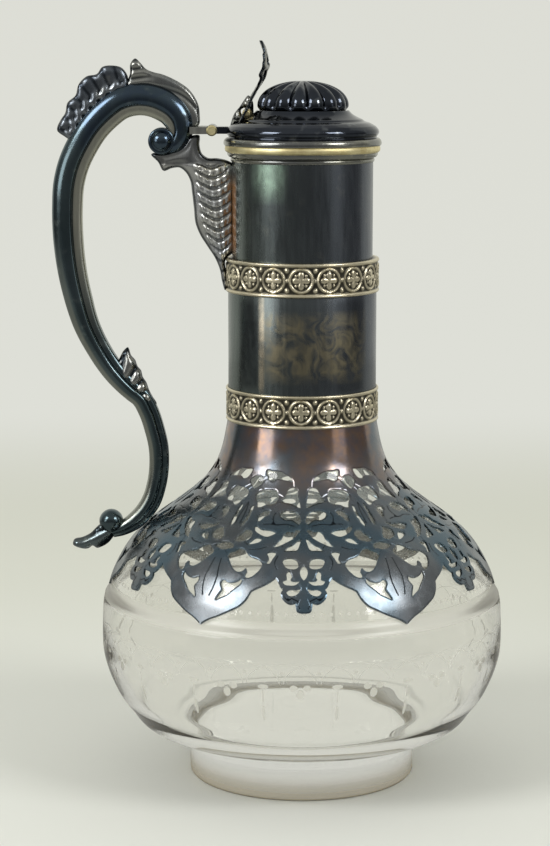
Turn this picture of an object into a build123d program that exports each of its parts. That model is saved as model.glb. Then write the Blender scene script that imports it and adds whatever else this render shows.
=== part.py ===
from build123d import *
from math import cos, radians, sin
import os

os.makedirs("parts", exist_ok=True)

# A claret jug: a blown glass bulb on a thick ground foot, in a plated mount with a pierced skirt,
# a tall neck, a scroll handle and a hinged lid. All lengths are in millimetres. Z is up, the foot
# stands on Z = 0 and the bulb turns about the Z axis. The handle and the hinge are on -X.

# Glass
foot_radius = 43.2
foot_height = 17.1
foot_chamfer = 1.2
belly_radius = 76.7
underside_round = 41.8
underside_turn = 52.0
underside_run = 5.2
underside_lift = 1.9
underside_rise = 3.06
glass_wall = 3.0
floor_sheet = 3.5
glass_top_gap = 0.3
belly_chords = 4
glass_throat_runs = 3

# Mount, from the lappet tips up to the rim
skirt_set_in = 1.46
skirt_lift = 18.4
throat_round = 43.0
flare_turn = 61.0
shoulder_round = 51.0
skirt_slope = 26.0
throat_runs = 5
shoulder_runs = 3
skirt_sheet = 0.8
skirt_gap = 0.15

# Neck sleeve
neck_radius = 28.0
neck_step = 1.55
upper_neck = 48.3
sleeve_sheet = 0.9
seat_gap = 0.05
plaster_gap = 0.1
plaster_wall = 0.95

# Bands round the neck
band_cover = 3.5
band_pitch = 48.8
band_height = 12.5
band_relief = 1.0
band_rim = 1.4
band_sunk = 0.5
band_lip = 1.6

# Rim collar
bead_swell = 0.5
bead_height = 1.7
rim_swell = 3.1
rim_height = 8.9
rim_bevel = 1.1
mouth_gap = 0.2
mouth_wall = 0.8
mouth_depth = 14.0

# Lid
lid_gap = 0.15
lid_set_in = 0.9
lid_groove = 0.85
lid_edge = 4.2
lid_step = 6.6
cove_set_in = 11.35
cove_width = 5.2
cove_rise = 3.5
cove_sag_share = 0.4
dome_step = 0.4
dome_height = 10.9
dome_runs = 5
dome_fullness = 0.8
dome_sheet = 1.1
gadroons = 15
gadroon_groove = 0.9
gadroon_depth = 0.6
lining_sheet = 0.8
bezel_gap = 0.5
bezel_wall = 0.8
bezel_depth = 2.8

# Hinge
hinge_standoff = 5.15
hinge_rise = 2.9
hinge_plate = 2.6
arm_bite = 2.6
knuckle_radius = 2.05
knuckle_length = 2.8
knuckle_gap = 0.12
pin_radius = 0.9
pin_gap = 0.05
pin_button = 1.1
button_taper = 25

# Handle. Each reach is out from the side of the neck, each rise is up from the rim or the lower band
volute_reach = 23.6
volute_rise = 1.0
volute_turn = 7.0
volute_lead_angle = 41.0
shoulder_reach = 52.7
shoulder_rise = 2.1
heel_reach = 56.9
heel_rise = 45.1
knee_reach = 35.6
knee_rise = 9.8
scroll_width = 11.2
scroll_heel_width = 8.6
scroll_tip_width = 5.6
scroll_half_breadth = 5.2
flange_half_breadth = 3.4
eye_radius = 4.6
eye_proud = 0.8
button_radius = 2.4
lower_scroll_width = 7.4
lower_half_breadth = 4.2
waist_reach = 26.6
waist_drop = 15.9
foot_reach = 34.0
foot_drop = 39.0
end_reach = 44.2
end_drop = 45.6
lower_flange = 2.9
back_flat_share = 0.4
side_turn_share = 0.85
back_turn_share = 0.6
flange_step_share = 0.33
leaf_gap = 0.1
leaf_half_breadth = 2.4
knob_radius = 4.2
knob_reach = 45.1
knob_drop = 40.0

# Leaves on the arch: angles round the arch's centre, and lifts above the back of the scroll
crest_angles = [160, 150, 137, 124, 105, 97, 97, 158]
crest_lifts = [2.5, 5.5, 6.2, 8.7, 9.0, 4.6, -4, -4]
ridge_angles = [84, 93, 90, 85, 78, 59, 48, 38, 29, 29, 80]
ridge_lifts = [0, 9.2, 10.6, 8.0, 6.1, 5.8, 5.2, 3.6, 1.2, -4, -4]
# Knee leaf from the joint of the scrolls, tail leaf from the middle of the knob
knee_outline = [
    (-2.4, 17.0), (-1.3, 13.9), (2.8, 6.3), (5.0, 1.7), (8.0, -4.5), (3.0, -3.5), (-2.0, 6.0), (-6.5, 16.0)
]
tail_outline = [
    (-3.0, 0.0), (-6.0, -2.7), (-10.9, -6.5), (-14.7, -7.7), (-15.0, -9.2), (-12.3, -10.8),
    (-8.5, -10.8), (-7.4, -9.6), (-3.6, -10.0), (-0.2, -7.3), (1.0, -2.0),
]

# Console between the neck and the handle
console_half_breadth = 4.6
console_rise = 1.4
console_depth = 14.0
console_foot = 1.2
console_hang = 13.5
console_round = 32.0
horn_standoff = 4.7
horn_width = 2.4

# Thumbpiece. Side outline from the lid's edge, front outline from its middle, both up from the lid
thumb_half_width = 7.4
thumb_side_outline = [
    (0.8, 4.9), (3.5, 9.0), (7.1, 14.5), (10.9, 18.2), (13.1, 21.1), (13.8, 24.1), (15.3, 26.7),
    (14.4, 29.2), (13.8, 32.5), (12.4, 35.8), (13.1, 35.8), (14.7, 32.9), (15.9, 29.2), (16.4, 26.7),
    (15.3, 24.1), (14.6, 21.1), (13.5, 18.9), (12.6, 15.6), (11.9, 9.0), (9.0, 3.0),
]
thumb_front_outline = [
    (0, 2), (6.6, 2), (6.9, 7), (4.9, 11), (2.4, 15), (2.2, 18), (5.2, 20), (7.4, 23.5), (6.6, 28),
    (4.6, 31), (3.2, 30.5), (2.4, 34), (0.8, 36), (0, 36),
]
thumb_hole_outlines = [
    [(1.2, 9.4), (3.4, 7.6), (4.4, 9.4), (2.2, 12.0)],
    [(1.1, 21.2), (4.6, 22.6), (5.2, 25.4), (1.6, 25.0)],
    [(1.0, 27.4), (3.4, 27.2), (1.8, 30.8)],
]

# Pierced skirt: six palmette pendants, and six lappets whose tips lie lowest. Its pattern and the
# lower scroll are drawn for a flare that reaches this far out from the neck, and scale with it.
drawn_reach = 47.24
repeats = 6
pendant_lift = 5.9
pendant_lobe = 3.1
pendant_neck = (4.5, 2.8)
pendant_wing = (8.2, 5.5)
pendant_notch = (7.5, 7.6)
wing_round = 3.7
joint_point = (10.2, 17.2)
cusp_point = (18.9, 12.5)
shoulder_point = (26.3, 5.7)
cusp_round = 12.0

# Radii worked out from the sizes above
neck_top_radius = neck_radius - neck_step
glass_neck_radius = neck_top_radius - sleeve_sheet - 2 * plaster_gap - plaster_wall
bead_radius = neck_top_radius + bead_swell
rim_radius = neck_top_radius + rim_swell
mouth_radius = glass_neck_radius - glass_wall - mouth_gap - mouth_wall
lid_radius = rim_radius - lid_set_in
cove_radius = lid_radius - cove_set_in
flare_reach = belly_radius - skirt_set_in - neck_radius
flare_scale = flare_reach / drawn_reach


def rim_point(centre, radius, angle):
    # Point on a circle, at an angle from the radial axis towards +Z.
    return (centre[0] + radius * cos(radians(angle)), centre[1] + radius * sin(radians(angle)))


def scaled(points, scale, lift=0.0):
    # A drawn outline made to size, then moved up.
    return [(scale * x, scale * y + lift) for x, y in points]


# Underside of the bulb: a full round that ends in a short run to the top of the foot.
belly_bottom = foot_height + underside_lift + underside_rise + underside_round * sin(radians(underside_turn))
underside_centre = (belly_radius - underside_round, belly_bottom)
underside_end = rim_point(underside_centre, underside_round, -underside_turn)
underside_corner = (underside_end[0] - underside_run, foot_height + underside_lift)

# The flare's outer line is a hollow throat arc, a full shoulder arc and a straight skirt. The
# straight part takes up what the arcs leave of the reach.
throat_size = throat_round * flare_scale
shoulder_size = shoulder_round * flare_scale
turn_cos = cos(radians(flare_turn))
arcs_reach = throat_size * (1 - turn_cos) + shoulder_size * (cos(radians(skirt_slope)) - turn_cos)
skirt_fall = (flare_reach - arcs_reach) / sin(radians(skirt_slope)) * cos(radians(skirt_slope))
arcs_fall = (throat_size + shoulder_size) * sin(radians(flare_turn))
arcs_fall -= shoulder_size * sin(radians(skirt_slope))
lappet_tip = belly_bottom + skirt_lift
flare_top = lappet_tip + skirt_fall + arcs_fall
throat_centre = (neck_radius + throat_size, flare_top)
shoulder_centre = rim_point(throat_centre, throat_size + shoulder_size, 180 + flare_turn)

# Heights worked out from the flare up
lower_band_bottom = flare_top - band_cover
upper_band_bottom = lower_band_bottom + band_pitch
neck_top = upper_band_bottom + upper_neck
rim_top = neck_top + rim_height
lid_bottom = rim_top + lid_gap
glass_neck_top = neck_top - glass_top_gap
hinge_x = -(lid_radius + hinge_standoff)
hinge_z = rim_top + hinge_rise


def on_throat(angle, inset=0.0):
    return rim_point(throat_centre, throat_size + inset, 180 + angle)


def on_shoulder(angle, inset=0.0):
    return rim_point(shoulder_centre, shoulder_size - inset, angle)


def on_skirt(height, inset=0.0):
    # Straight stretch below the shoulder arc, down to the lappet tips.
    start = on_shoulder(skirt_slope, inset)
    return (start[0] + (start[1] - height) * sin(radians(skirt_slope)) / cos(radians(skirt_slope)), height)


def shoulder_points(inset=0.0):
    # Corners of the straight runs that stand for the shoulder arc, from the top down.
    fall = (flare_turn - skirt_slope) / shoulder_runs
    return [on_shoulder(flare_turn - fall * run, inset) for run in range(shoulder_runs + 1)]


def flare_points(bottom, inset=0.0):
    # Corners of the outer line, or of a line moved in from it, from the neck down to a height.
    throat = [on_throat(flare_turn * run / throat_runs, inset) for run in range(throat_runs)]
    return throat + shoulder_points(inset) + [on_skirt(bottom, inset)]


def flare_radius(height):
    # Outer radius of the mount at a height between the lappet tips and the neck.
    corners = flare_points(lappet_tip)
    for upper, lower in zip(corners, corners[1:]):
        if lower[1] <= height <= upper[1]:
            return upper[0] + (lower[0] - upper[0]) * (upper[1] - height) / (upper[1] - lower[1])
    return neck_radius


# The glass follows the skirt below the flare's turning point and draws in to its own neck above.
glass_inset = skirt_sheet + skirt_gap
glass_turn = on_shoulder(flare_turn, glass_inset)
glass_throat_round = (glass_turn[0] - glass_neck_radius) / (1 - turn_cos)
glass_throat = (
    glass_neck_radius + glass_throat_round,
    glass_turn[1] + glass_throat_round * sin(radians(flare_turn)),
)
belly_turn_start = on_skirt(lappet_tip, glass_inset)
belly_round = (belly_radius - belly_turn_start[0]) / (1 - cos(radians(skirt_slope)))
belly_centre = (belly_radius - belly_round, lappet_tip - belly_round * sin(radians(skirt_slope)))


def throat_corners(radius):
    # Corners of the straight runs that touch a hollow arc round the glass throat's centre.
    half = flare_turn / glass_throat_runs / 2
    steps = [half * (2 * run + 1) for run in range(glass_throat_runs)]
    return [rim_point(glass_throat, radius / cos(radians(half)), 180 + step) for step in steps]


# The bulb, its thick ground foot and the glass neck that runs up inside the metal sleeve.
with BuildPart() as glass_body:
    with BuildSketch(Plane.XZ) as glass_section:
        with BuildLine():
            Line((0, 0), (foot_radius - foot_chamfer, 0))
            Line((foot_radius - foot_chamfer, 0), (foot_radius, foot_chamfer))
            Line((foot_radius, foot_chamfer), (foot_radius, foot_height))
            Line((foot_radius, foot_height), underside_corner)
            Line(underside_corner, underside_end)
            ThreePointArc(
                underside_end,
                rim_point(underside_centre, underside_round, -underside_turn / 2),
                (belly_radius, belly_bottom),
            )
            Line((belly_radius, belly_bottom), (belly_radius, belly_centre[1]))
            ThreePointArc(
                (belly_radius, belly_centre[1]),
                rim_point(belly_centre, belly_round, skirt_slope / 2),
                belly_turn_start,
            )
            # Under the skirt, and inside, straight runs take the place of the curves.
            Polyline(
                belly_turn_start,
                *shoulder_points(glass_inset)[::-1],
                *throat_corners(glass_throat_round)[::-1],
                (glass_neck_radius, glass_neck_top),
            )
            inner = [(glass_neck_radius - glass_wall, glass_neck_top)]
            inner += throat_corners(glass_throat_round + glass_wall)
            inner += shoulder_points(glass_inset + glass_wall)[::shoulder_runs]
            inner.append((belly_radius - glass_wall, belly_centre[1]))
            for step in range(belly_chords):
                angle = -underside_turn * step / (belly_chords - 1)
                inner.append(rim_point(underside_centre, underside_round - glass_wall, angle))
            inner.append((foot_radius - glass_wall, foot_height + floor_sheet))
            inner.append((0, foot_height + floor_sheet))
            inner.append((0, 0))
            Polyline((glass_neck_radius, glass_neck_top), *inner)
        make_face()
    revolve(axis=Axis.Z)
glass_body.part.label = "glass_body"
export_step(glass_body.part, "parts/glass_body.step")


# Plain tube of the neck. It narrows under the lip of the upper band.
step_bottom = upper_band_bottom + band_height - band_lip - neck_step
step_top = upper_band_bottom + band_height - band_lip
with BuildPart() as neck_sleeve:
    with BuildSketch(Plane.XZ) as sleeve_section:
        with BuildLine():
            Polyline(
                (neck_radius, flare_top + seat_gap),
                (neck_radius, step_bottom),
                (neck_top_radius, step_top),
                (neck_top_radius, neck_top),
                (neck_top_radius - sleeve_sheet, neck_top),
                (neck_top_radius - sleeve_sheet, step_top - sleeve_sheet / 2),
                (neck_radius - sleeve_sheet, step_bottom - sleeve_sheet / 2),
                (neck_radius - sleeve_sheet, flare_top + seat_gap),
                close=True,
            )
        make_face()
    revolve(axis=Axis.Z)
neck_sleeve.part.label = "neck_sleeve"
export_step(neck_sleeve.part, "parts/neck_sleeve.step")


# Plaster that beds the glass neck in the sleeve.
plaster_bore = glass_neck_radius + plaster_gap
plaster_bottom = max(glass_throat[1], flare_top) + seat_gap
plaster_step = step_bottom - sleeve_sheet
with BuildPart() as bedding_plaster:
    with BuildSketch(Plane.XZ) as plaster_section:
        with BuildLine():
            Polyline(
                (plaster_bore, plaster_bottom),
                (neck_radius - sleeve_sheet - plaster_gap, plaster_bottom),
                (neck_radius - sleeve_sheet - plaster_gap, plaster_step),
                (neck_top_radius - sleeve_sheet - plaster_gap, plaster_step),
                (neck_top_radius - sleeve_sheet - plaster_gap, glass_neck_top),
                (plaster_bore, glass_neck_top),
                close=True,
            )
        make_face()
    revolve(axis=Axis.Z)
bedding_plaster.part.label = "bedding_plaster"
export_step(bedding_plaster.part, "parts/bedding_plaster.step")


def band_outline(bottom):
    # Sunk panel between two raised rims, from the outer lower corner up to the outer top corner.
    outer = neck_radius + band_relief
    panel = outer - band_sunk
    top = bottom + band_height
    return [
        (outer, bottom),
        (outer, bottom + band_rim),
        (panel, bottom + band_rim + band_sunk),
        (panel, top - band_rim - band_sunk),
        (outer, top - band_rim),
        (outer, top),
    ]


# Lower band: it covers the seam of sleeve and skirt, and opens out with the flare.
with BuildPart() as lower_band:
    with BuildSketch(Plane.XZ) as lower_band_section:
        with BuildLine():
            Polyline(
                *band_outline(lower_band_bottom),
                (neck_radius + seat_gap, lower_band_bottom + band_height),
                (neck_radius + seat_gap, flare_top),
                (flare_radius(lower_band_bottom) + seat_gap, lower_band_bottom),
                close=True,
            )
        make_face()
    revolve(axis=Axis.Z)
lower_band.part.label = "lower_band"
export_step(lower_band.part, "parts/lower_band.step")

# Upper band: its lip closes over the step of the sleeve.
with BuildPart() as upper_band:
    with BuildSketch(Plane.XZ) as upper_band_section:
        with BuildLine():
            Polyline(
                *band_outline(upper_band_bottom),
                (neck_top_radius + seat_gap, upper_band_bottom + band_height),
                (neck_top_radius + seat_gap, step_top + seat_gap),
                (neck_radius + seat_gap, step_top + seat_gap),
                (neck_radius + seat_gap, upper_band_bottom),
                close=True,
            )
        make_face()
    revolve(axis=Axis.Z)
upper_band.part.label = "upper_band"
export_step(upper_band.part, "parts/upper_band.step")


# Rim collar: a bead over the top of the sleeve, a flaring mould, and a lip down into the mouth.
collar_bottom = neck_top + seat_gap
with BuildPart() as rim_collar:
    with BuildSketch(Plane.XZ) as collar_section:
        with BuildLine():
            waist = (neck_top_radius + seat_gap, collar_bottom + bead_height)
            swell = (rim_radius, rim_top - 2 * rim_bevel)
            Line((mouth_radius, rim_top), (rim_radius - rim_bevel, rim_top))
            Line((rim_radius - rim_bevel, rim_top), swell)
            Polyline(swell, (rim_radius - rim_bevel, rim_top - rim_height / 2), waist)
            Line(waist, (bead_radius, collar_bottom + bead_height / 2))
            Line((bead_radius, collar_bottom + bead_height / 2), (bead_radius - seat_gap, collar_bottom))
            lip_outer = mouth_radius + mouth_wall
            Line((bead_radius - seat_gap, collar_bottom), (lip_outer, collar_bottom))
            Line((lip_outer, collar_bottom), (lip_outer, rim_top - mouth_depth))
            Line((lip_outer, rim_top - mouth_depth), (mouth_radius, rim_top - mouth_depth))
            Line((mouth_radius, rim_top - mouth_depth), (mouth_radius, rim_top))
        make_face()
    revolve(axis=Axis.Z)
rim_collar.part.label = "rim_collar"
export_step(rim_collar.part, "parts/rim_collar.step")


def facing_plane(angle):
    # Upright plane through the axis, facing outwards at an angle from +X, with +Y of the sketch up.
    out = Vector(cos(radians(angle)), sin(radians(angle)), 0)
    across = Vector(-sin(radians(angle)), cos(radians(angle)), 0)
    return Plane(origin=(0, 0, 0), x_dir=across, z_dir=out)


def draw_holes(outlines):
    # One closed outline each, and the same again mirrored to the other side of the motif.
    for outline in outlines:
        Polygon(*outline, align=None)
    mirror(about=Plane.YZ)


# Holes of half a palmette, across from its middle line and up from the pendant's foot.
bean_hole = [(1.3, 8.0), (5.2, 7.6), (6.3, 6.9), (5.4, 5.7), (2.0, 6.3)]
curl_hole = [(1.5, 10.5), (2.9, 9.2), (7.1, 9.3), (7.5, 10.1), (6.1, 10.8), (6.2, 12.8), (4.8, 12.9)]
slot_hole = [(1.9, 14.7), (6.6, 14.7), (7.6, 16.6), (2.6, 16.6)]
bridge_hole = [(9.9, 18.8), (13.2, 18.6), (13.4, 15.6), (11.3, 16.9)]
leaf_hole = [(1.7, 30.3), (4.7, 31.2), (8.4, 30.8), (3.2, 27.9)]
under_leaf_hole = [(1.3, 25.4), (6.0, 25.3), (12.1, 20.6), (3.2, 23.7)]
crown_hole = [(2.2, 34.3), (2.9, 38.5), (5.9, 40.1), (7.7, 34.2)]
palmette_holes = [
    bean_hole, curl_hole, slot_hole, bridge_hole, leaf_hole, under_leaf_hole, crown_hole
]

# Holes of half a lappet, across from its middle line and up from its tip.
window_hole = [(17.4, 20.9), (12.4, 24.6), (6.8, 25.0), (4.2, 22.8), (6.7, 19.6), (11.9, 20.2)]
almond_hole = [(2.9, 38.2), (4.3, 34.2), (3.6, 31.4), (1.9, 34.0)]
lappet_holes = [window_hole, almond_hole]

pendant_foot = lappet_tip + flare_scale * pendant_lift
tool_reach = 2 * belly_radius
lappet_step = 360 / repeats

# The pierced skirt: a thin flare, its lower edge cut to lappets and pendants, its field pierced.
with BuildPart() as pierced_skirt:
    with BuildSketch(Plane.XZ) as skirt_section:
        with BuildLine():
            inner_line = flare_points(lappet_tip, skirt_sheet)
            Polyline(*flare_points(lappet_tip), *inner_line[::-1], close=True)
        make_face()
    revolve(axis=Axis.Z)
    for turn in range(repeats):
        pendant_angle = -90 + turn * lappet_step
        with BuildSketch(facing_plane(pendant_angle)) as lower_edge:
            with BuildLine():
                tip = (flare_radius(lappet_tip) * sin(radians(lappet_step / 2)), lappet_tip)
                lobe = (pendant_lobe, pendant_lobe)
                pendant = scaled([lobe, pendant_neck, pendant_wing, pendant_notch], flare_scale, pendant_foot)
                edge = scaled([joint_point, cusp_point, shoulder_point], flare_scale, lappet_tip)
                RadiusArc((0, pendant_foot), pendant[0], -pendant_lobe * flare_scale)
                Line(pendant[0], pendant[1])
                RadiusArc(pendant[1], pendant[2], -wing_round * flare_scale)
                Polyline(pendant[2], pendant[3], edge[0], edge[1])
                RadiusArc(edge[1], edge[2], cusp_round * flare_scale)
                Polyline(edge[2], tip, (tip[0], 0), (0, 0), (0, pendant_foot))
            make_face()
            mirror(about=Plane.YZ)
        extrude(amount=tool_reach, mode=Mode.SUBTRACT)
        with BuildSketch(facing_plane(pendant_angle)) as palmette:
            draw_holes([scaled(outline, flare_scale, pendant_foot) for outline in palmette_holes])
        extrude(amount=tool_reach, mode=Mode.SUBTRACT)
        with BuildSketch(facing_plane(pendant_angle + lappet_step / 2)) as lappet:
            draw_holes([scaled(outline, flare_scale, lappet_tip) for outline in lappet_holes])
        extrude(amount=tool_reach, mode=Mode.SUBTRACT)
pierced_skirt.part.label = "pierced_skirt"
export_step(pierced_skirt.part, "parts/pierced_skirt.step")


# Centre lines of the two scrolls, as tangent arcs in the XZ plane, from the volute down to the tail.
neck_side = -neck_radius
volute_centre = (neck_side - volute_reach, rim_top + volute_rise)
scroll_start = (volute_centre[0], volute_centre[1] - volute_turn)
scroll_neck = rim_point(volute_centre, volute_turn, volute_lead_angle)
scroll_shoulder = (neck_side - shoulder_reach, rim_top + shoulder_rise)
scroll_heel = (neck_side - heel_reach, lower_band_bottom + heel_rise)
scroll_end = (neck_side - knee_reach, lower_band_bottom + knee_rise)


def below_band(reach, drop):
    # Point of the lower scroll, which is drawn beside the flare and scales with it.
    return (neck_side - flare_scale * reach, 0, lower_band_bottom - flare_scale * drop)


scroll_waist = below_band(waist_reach, waist_drop)
scroll_foot = below_band(foot_reach, foot_drop)
scroll_tail = below_band(end_reach, end_drop)

with BuildLine(Plane.XZ) as main_path:
    turn_in = TangentArc(scroll_start, scroll_neck, tangent=(1, 0))
    crown = TangentArc(scroll_neck, scroll_shoulder, tangent=turn_in % 1)
    grip = TangentArc(scroll_shoulder, scroll_heel, tangent=crown % 1)
    heel = TangentArc(scroll_heel, scroll_end, tangent=grip % 1)
with BuildLine() as lower_path:
    waist = TangentArc(heel @ 1 + (heel % 1) * leaf_gap, scroll_waist, tangent=heel % 1)
    foot = TangentArc(scroll_waist, scroll_foot, tangent=waist % 1)
    curl = TangentArc(scroll_foot, scroll_tail, tangent=foot % 1)


def scroll_section(edge, share, width, half_breadth, half_flange, grow=0.0):
    # Square to the centre line: a rounded outer body over a narrower flat flange inside the bend.
    place = Plane(origin=edge @ share, x_dir=(0, -1, 0), z_dir=edge % share)
    top = width / 2 + grow
    side = half_breadth + grow
    flange = half_flange + grow
    step = width / 2 * flange_step_share + grow
    turn = (side * side_turn_share, top * back_turn_share)
    with BuildSketch(place) as section:
        with BuildLine():
            Polyline((0, top), (side * back_flat_share, top), turn, (side, 0), (side, -step))
            Polyline((side, -step), (flange, -step), (flange, -top), (0, -top))
            mirror(about=Plane.YZ)
        make_face()
    return section.sketch


def main_sections(grow=0.0):
    sizes = (scroll_half_breadth, flange_half_breadth, grow)
    return [
        scroll_section(turn_in, 0, scroll_tip_width, *sizes),
        scroll_section(crown, 0, scroll_width, *sizes),
        scroll_section(grip, 0, scroll_width, *sizes),
        scroll_section(heel, 0, scroll_heel_width, *sizes),
        scroll_section(heel, 1, scroll_heel_width, *sizes),
    ]


def lower_section(grow=0.0):
    return scroll_section(waist, 0, lower_scroll_width, lower_half_breadth, lower_flange, grow)


# What the leaves, the console and the tail are cut by, so that they seat on the two scrolls.
with BuildPart() as main_space:
    sweep(sections=main_sections(leaf_gap), path=main_path.line, multisection=True)
with BuildPart() as lower_space:
    sweep(sections=lower_section(leaf_gap), path=lower_path.line)
with BuildPart() as skirt_space:
    with BuildSketch(Plane.XZ):
        with BuildLine():
            outer_line = flare_points(lappet_tip, -seat_gap)
            Polyline((0, flare_top), *outer_line, (0, lappet_tip), close=True)
        make_face()
    revolve(axis=Axis.Z)

# Main scroll of the handle, with its rolled end: an eye and a round button on each side.
with BuildPart() as main_scroll:
    sweep(sections=main_sections(), path=main_path.line, multisection=True)
    with BuildSketch(Plane.XZ):
        with Locations(volute_centre):
            Circle(eye_radius)
    extrude(amount=scroll_half_breadth + eye_proud, both=True)
    with BuildSketch(Plane.XZ):
        with Locations(volute_centre):
            Circle(button_radius)
    extrude(amount=scroll_half_breadth + 2 * eye_proud, both=True)
main_scroll.part.label = "handle_main_scroll"
export_step(main_scroll.part, "parts/handle_main_scroll.step")

# Lower scroll, from the knee down to the skirt.
with BuildPart() as lower_scroll:
    sweep(sections=lower_section(), path=lower_path.line)
    add(skirt_space.part, mode=Mode.SUBTRACT)
lower_scroll.part.label = "handle_lower_scroll"
export_step(lower_scroll.part, "parts/handle_lower_scroll.step")

crown_centre = (crown.arc_center.X, crown.arc_center.Z)
crown_back = crown.radius + scroll_width / 2


def back_outline(angles, lifts):
    # From angles round the crown's centre and lifts above the scroll's back to sketch points.
    return [rim_point(crown_centre, crown_back + lift, angle) for angle, lift in zip(angles, lifts)]


# Crest leaf, on the outer side of the arch.
with BuildPart() as crest_leaf:
    with BuildSketch(Plane.XZ):
        Polygon(*back_outline(crest_angles, crest_lifts), align=None)
    extrude(amount=leaf_half_breadth, both=True)
    add(main_space.part, mode=Mode.SUBTRACT)
crest_leaf.part.label = "handle_crest_leaf"
export_step(crest_leaf.part, "parts/handle_crest_leaf.step")

# Ridge leaf, along the arch towards the lid, with its spur at the top.
with BuildPart() as ridge_leaf:
    with BuildSketch(Plane.XZ):
        Polygon(*back_outline(ridge_angles, ridge_lifts), align=None)
    extrude(amount=leaf_half_breadth, both=True)
    add(main_space.part, mode=Mode.SUBTRACT)
    with BuildSketch(Plane.XZ):
        with Locations((hinge_x, hinge_z)):
            Rectangle(2 * volute_reach, hinge_plate + 2 * leaf_gap)
    extrude(amount=leaf_half_breadth, both=True, mode=Mode.SUBTRACT)
ridge_leaf.part.label = "handle_ridge_leaf"
export_step(ridge_leaf.part, "parts/handle_ridge_leaf.step")

# Knee leaf, over the joint of the two scrolls.
with BuildPart() as knee_leaf:
    with BuildSketch(Plane.XZ):
        with Locations(scroll_end):
            Polygon(*knee_outline, align=None)
    extrude(amount=leaf_half_breadth, both=True)
    add(main_space.part, mode=Mode.SUBTRACT)
    add(lower_space.part, mode=Mode.SUBTRACT)
    with BuildSketch(Plane.XZ):
        with Locations(scroll_end):
            Circle(lower_scroll_width / 2)
    extrude(amount=leaf_half_breadth, both=True, mode=Mode.SUBTRACT)
knee_leaf.part.label = "handle_knee_leaf"
export_step(knee_leaf.part, "parts/handle_knee_leaf.step")

# Tail: a round knob on the end of the lower scroll and a small leaf behind it.
knob_centre = below_band(knob_reach, knob_drop)[::2]
with BuildPart() as tail:
    with BuildSketch(Plane.XZ):
        with Locations(knob_centre):
            Circle(knob_radius)
    extrude(amount=lower_half_breadth + eye_proud, both=True)
    with BuildSketch(Plane.XZ):
        with Locations(knob_centre):
            Polygon(*tail_outline, align=None)
    extrude(amount=leaf_half_breadth, both=True)
    add(lower_space.part, mode=Mode.SUBTRACT)
tail.part.label = "handle_tail"
export_step(tail.part, "parts/handle_tail.step")


# Everything round the neck that the console is cut by.
band_outer = neck_radius + band_relief + seat_gap
bead_outer = bead_radius + seat_gap
with BuildPart() as neck_space:
    with BuildSketch(Plane.XZ):
        with BuildLine():
            Polyline(
                (0, upper_band_bottom - seat_gap),
                (band_outer, upper_band_bottom - seat_gap),
                (band_outer, upper_band_bottom + band_height + seat_gap),
                (neck_top_radius + seat_gap, upper_band_bottom + band_height + seat_gap),
                (neck_top_radius + seat_gap, neck_top),
                (bead_outer, neck_top),
                (bead_outer, rim_top),
                (0, rim_top),
                close=True,
            )
        make_face()
    revolve(axis=Axis.Z)

# Console: a bracket up the side of the neck, with a horn that reaches the volute and the hinge arm.
console_top = neck_top + console_rise
arm_bottom = hinge_z - hinge_plate / 2
horn_side = hinge_x - horn_standoff
with BuildPart() as console:
    with BuildSketch(Plane.XZ) as console_side:
        with BuildLine():
            bracket_shoulder = (volute_centre[0] + volute_turn, volute_centre[1] - console_hang)
            bracket_waist = (-neck_top_radius - console_depth, upper_band_bottom + 2 * band_height)
            bracket_foot = (-band_outer - console_foot, upper_band_bottom + seat_gap)
            Line((0, console_top), (horn_side + horn_width, console_top))
            Line((horn_side + horn_width, console_top), (horn_side, console_top + horn_width))
            Line((horn_side, console_top + horn_width), (horn_side, arm_bottom - seat_gap))
            Line((horn_side, arm_bottom - seat_gap), (volute_centre[0], arm_bottom - seat_gap))
            Line((volute_centre[0], arm_bottom - seat_gap), (volute_centre[0], scroll_start[1]))
            Line((volute_centre[0], scroll_start[1]), bracket_shoulder)
            RadiusArc(bracket_shoulder, bracket_waist, console_round)
            RadiusArc(bracket_waist, bracket_foot, -2 * console_round)
            Line(bracket_foot, (0, bracket_foot[1]))
            Line((0, bracket_foot[1]), (0, console_top))
        make_face()
    extrude(amount=console_half_breadth, both=True)
    add(neck_space.part, mode=Mode.SUBTRACT)
    add(main_space.part, mode=Mode.SUBTRACT)
    with BuildSketch(Plane.XZ):
        with Locations(volute_centre):
            Circle(volute_turn)
    extrude(amount=console_half_breadth, both=True, mode=Mode.SUBTRACT)
console.part.label = "handle_console"
export_step(console.part, "parts/handle_console.step")

# Hinge. Five knuckles in a row along Y: the first, middle and last stand on the arm.
knuckle_pitch = knuckle_length + knuckle_gap
fixed_places = [-2 * knuckle_pitch, 0, 2 * knuckle_pitch]
moving_places = [-knuckle_pitch, knuckle_pitch]
hinge_half_breadth = 2 * knuckle_pitch + knuckle_length / 2
swing = knuckle_radius + knuckle_gap


def across(place):
    # Plane square to the hinge pin, facing -Y, at a place along the pin.
    return Plane(origin=(hinge_x, place, hinge_z), x_dir=(1, 0, 0), z_dir=(0, -1, 0))


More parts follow.
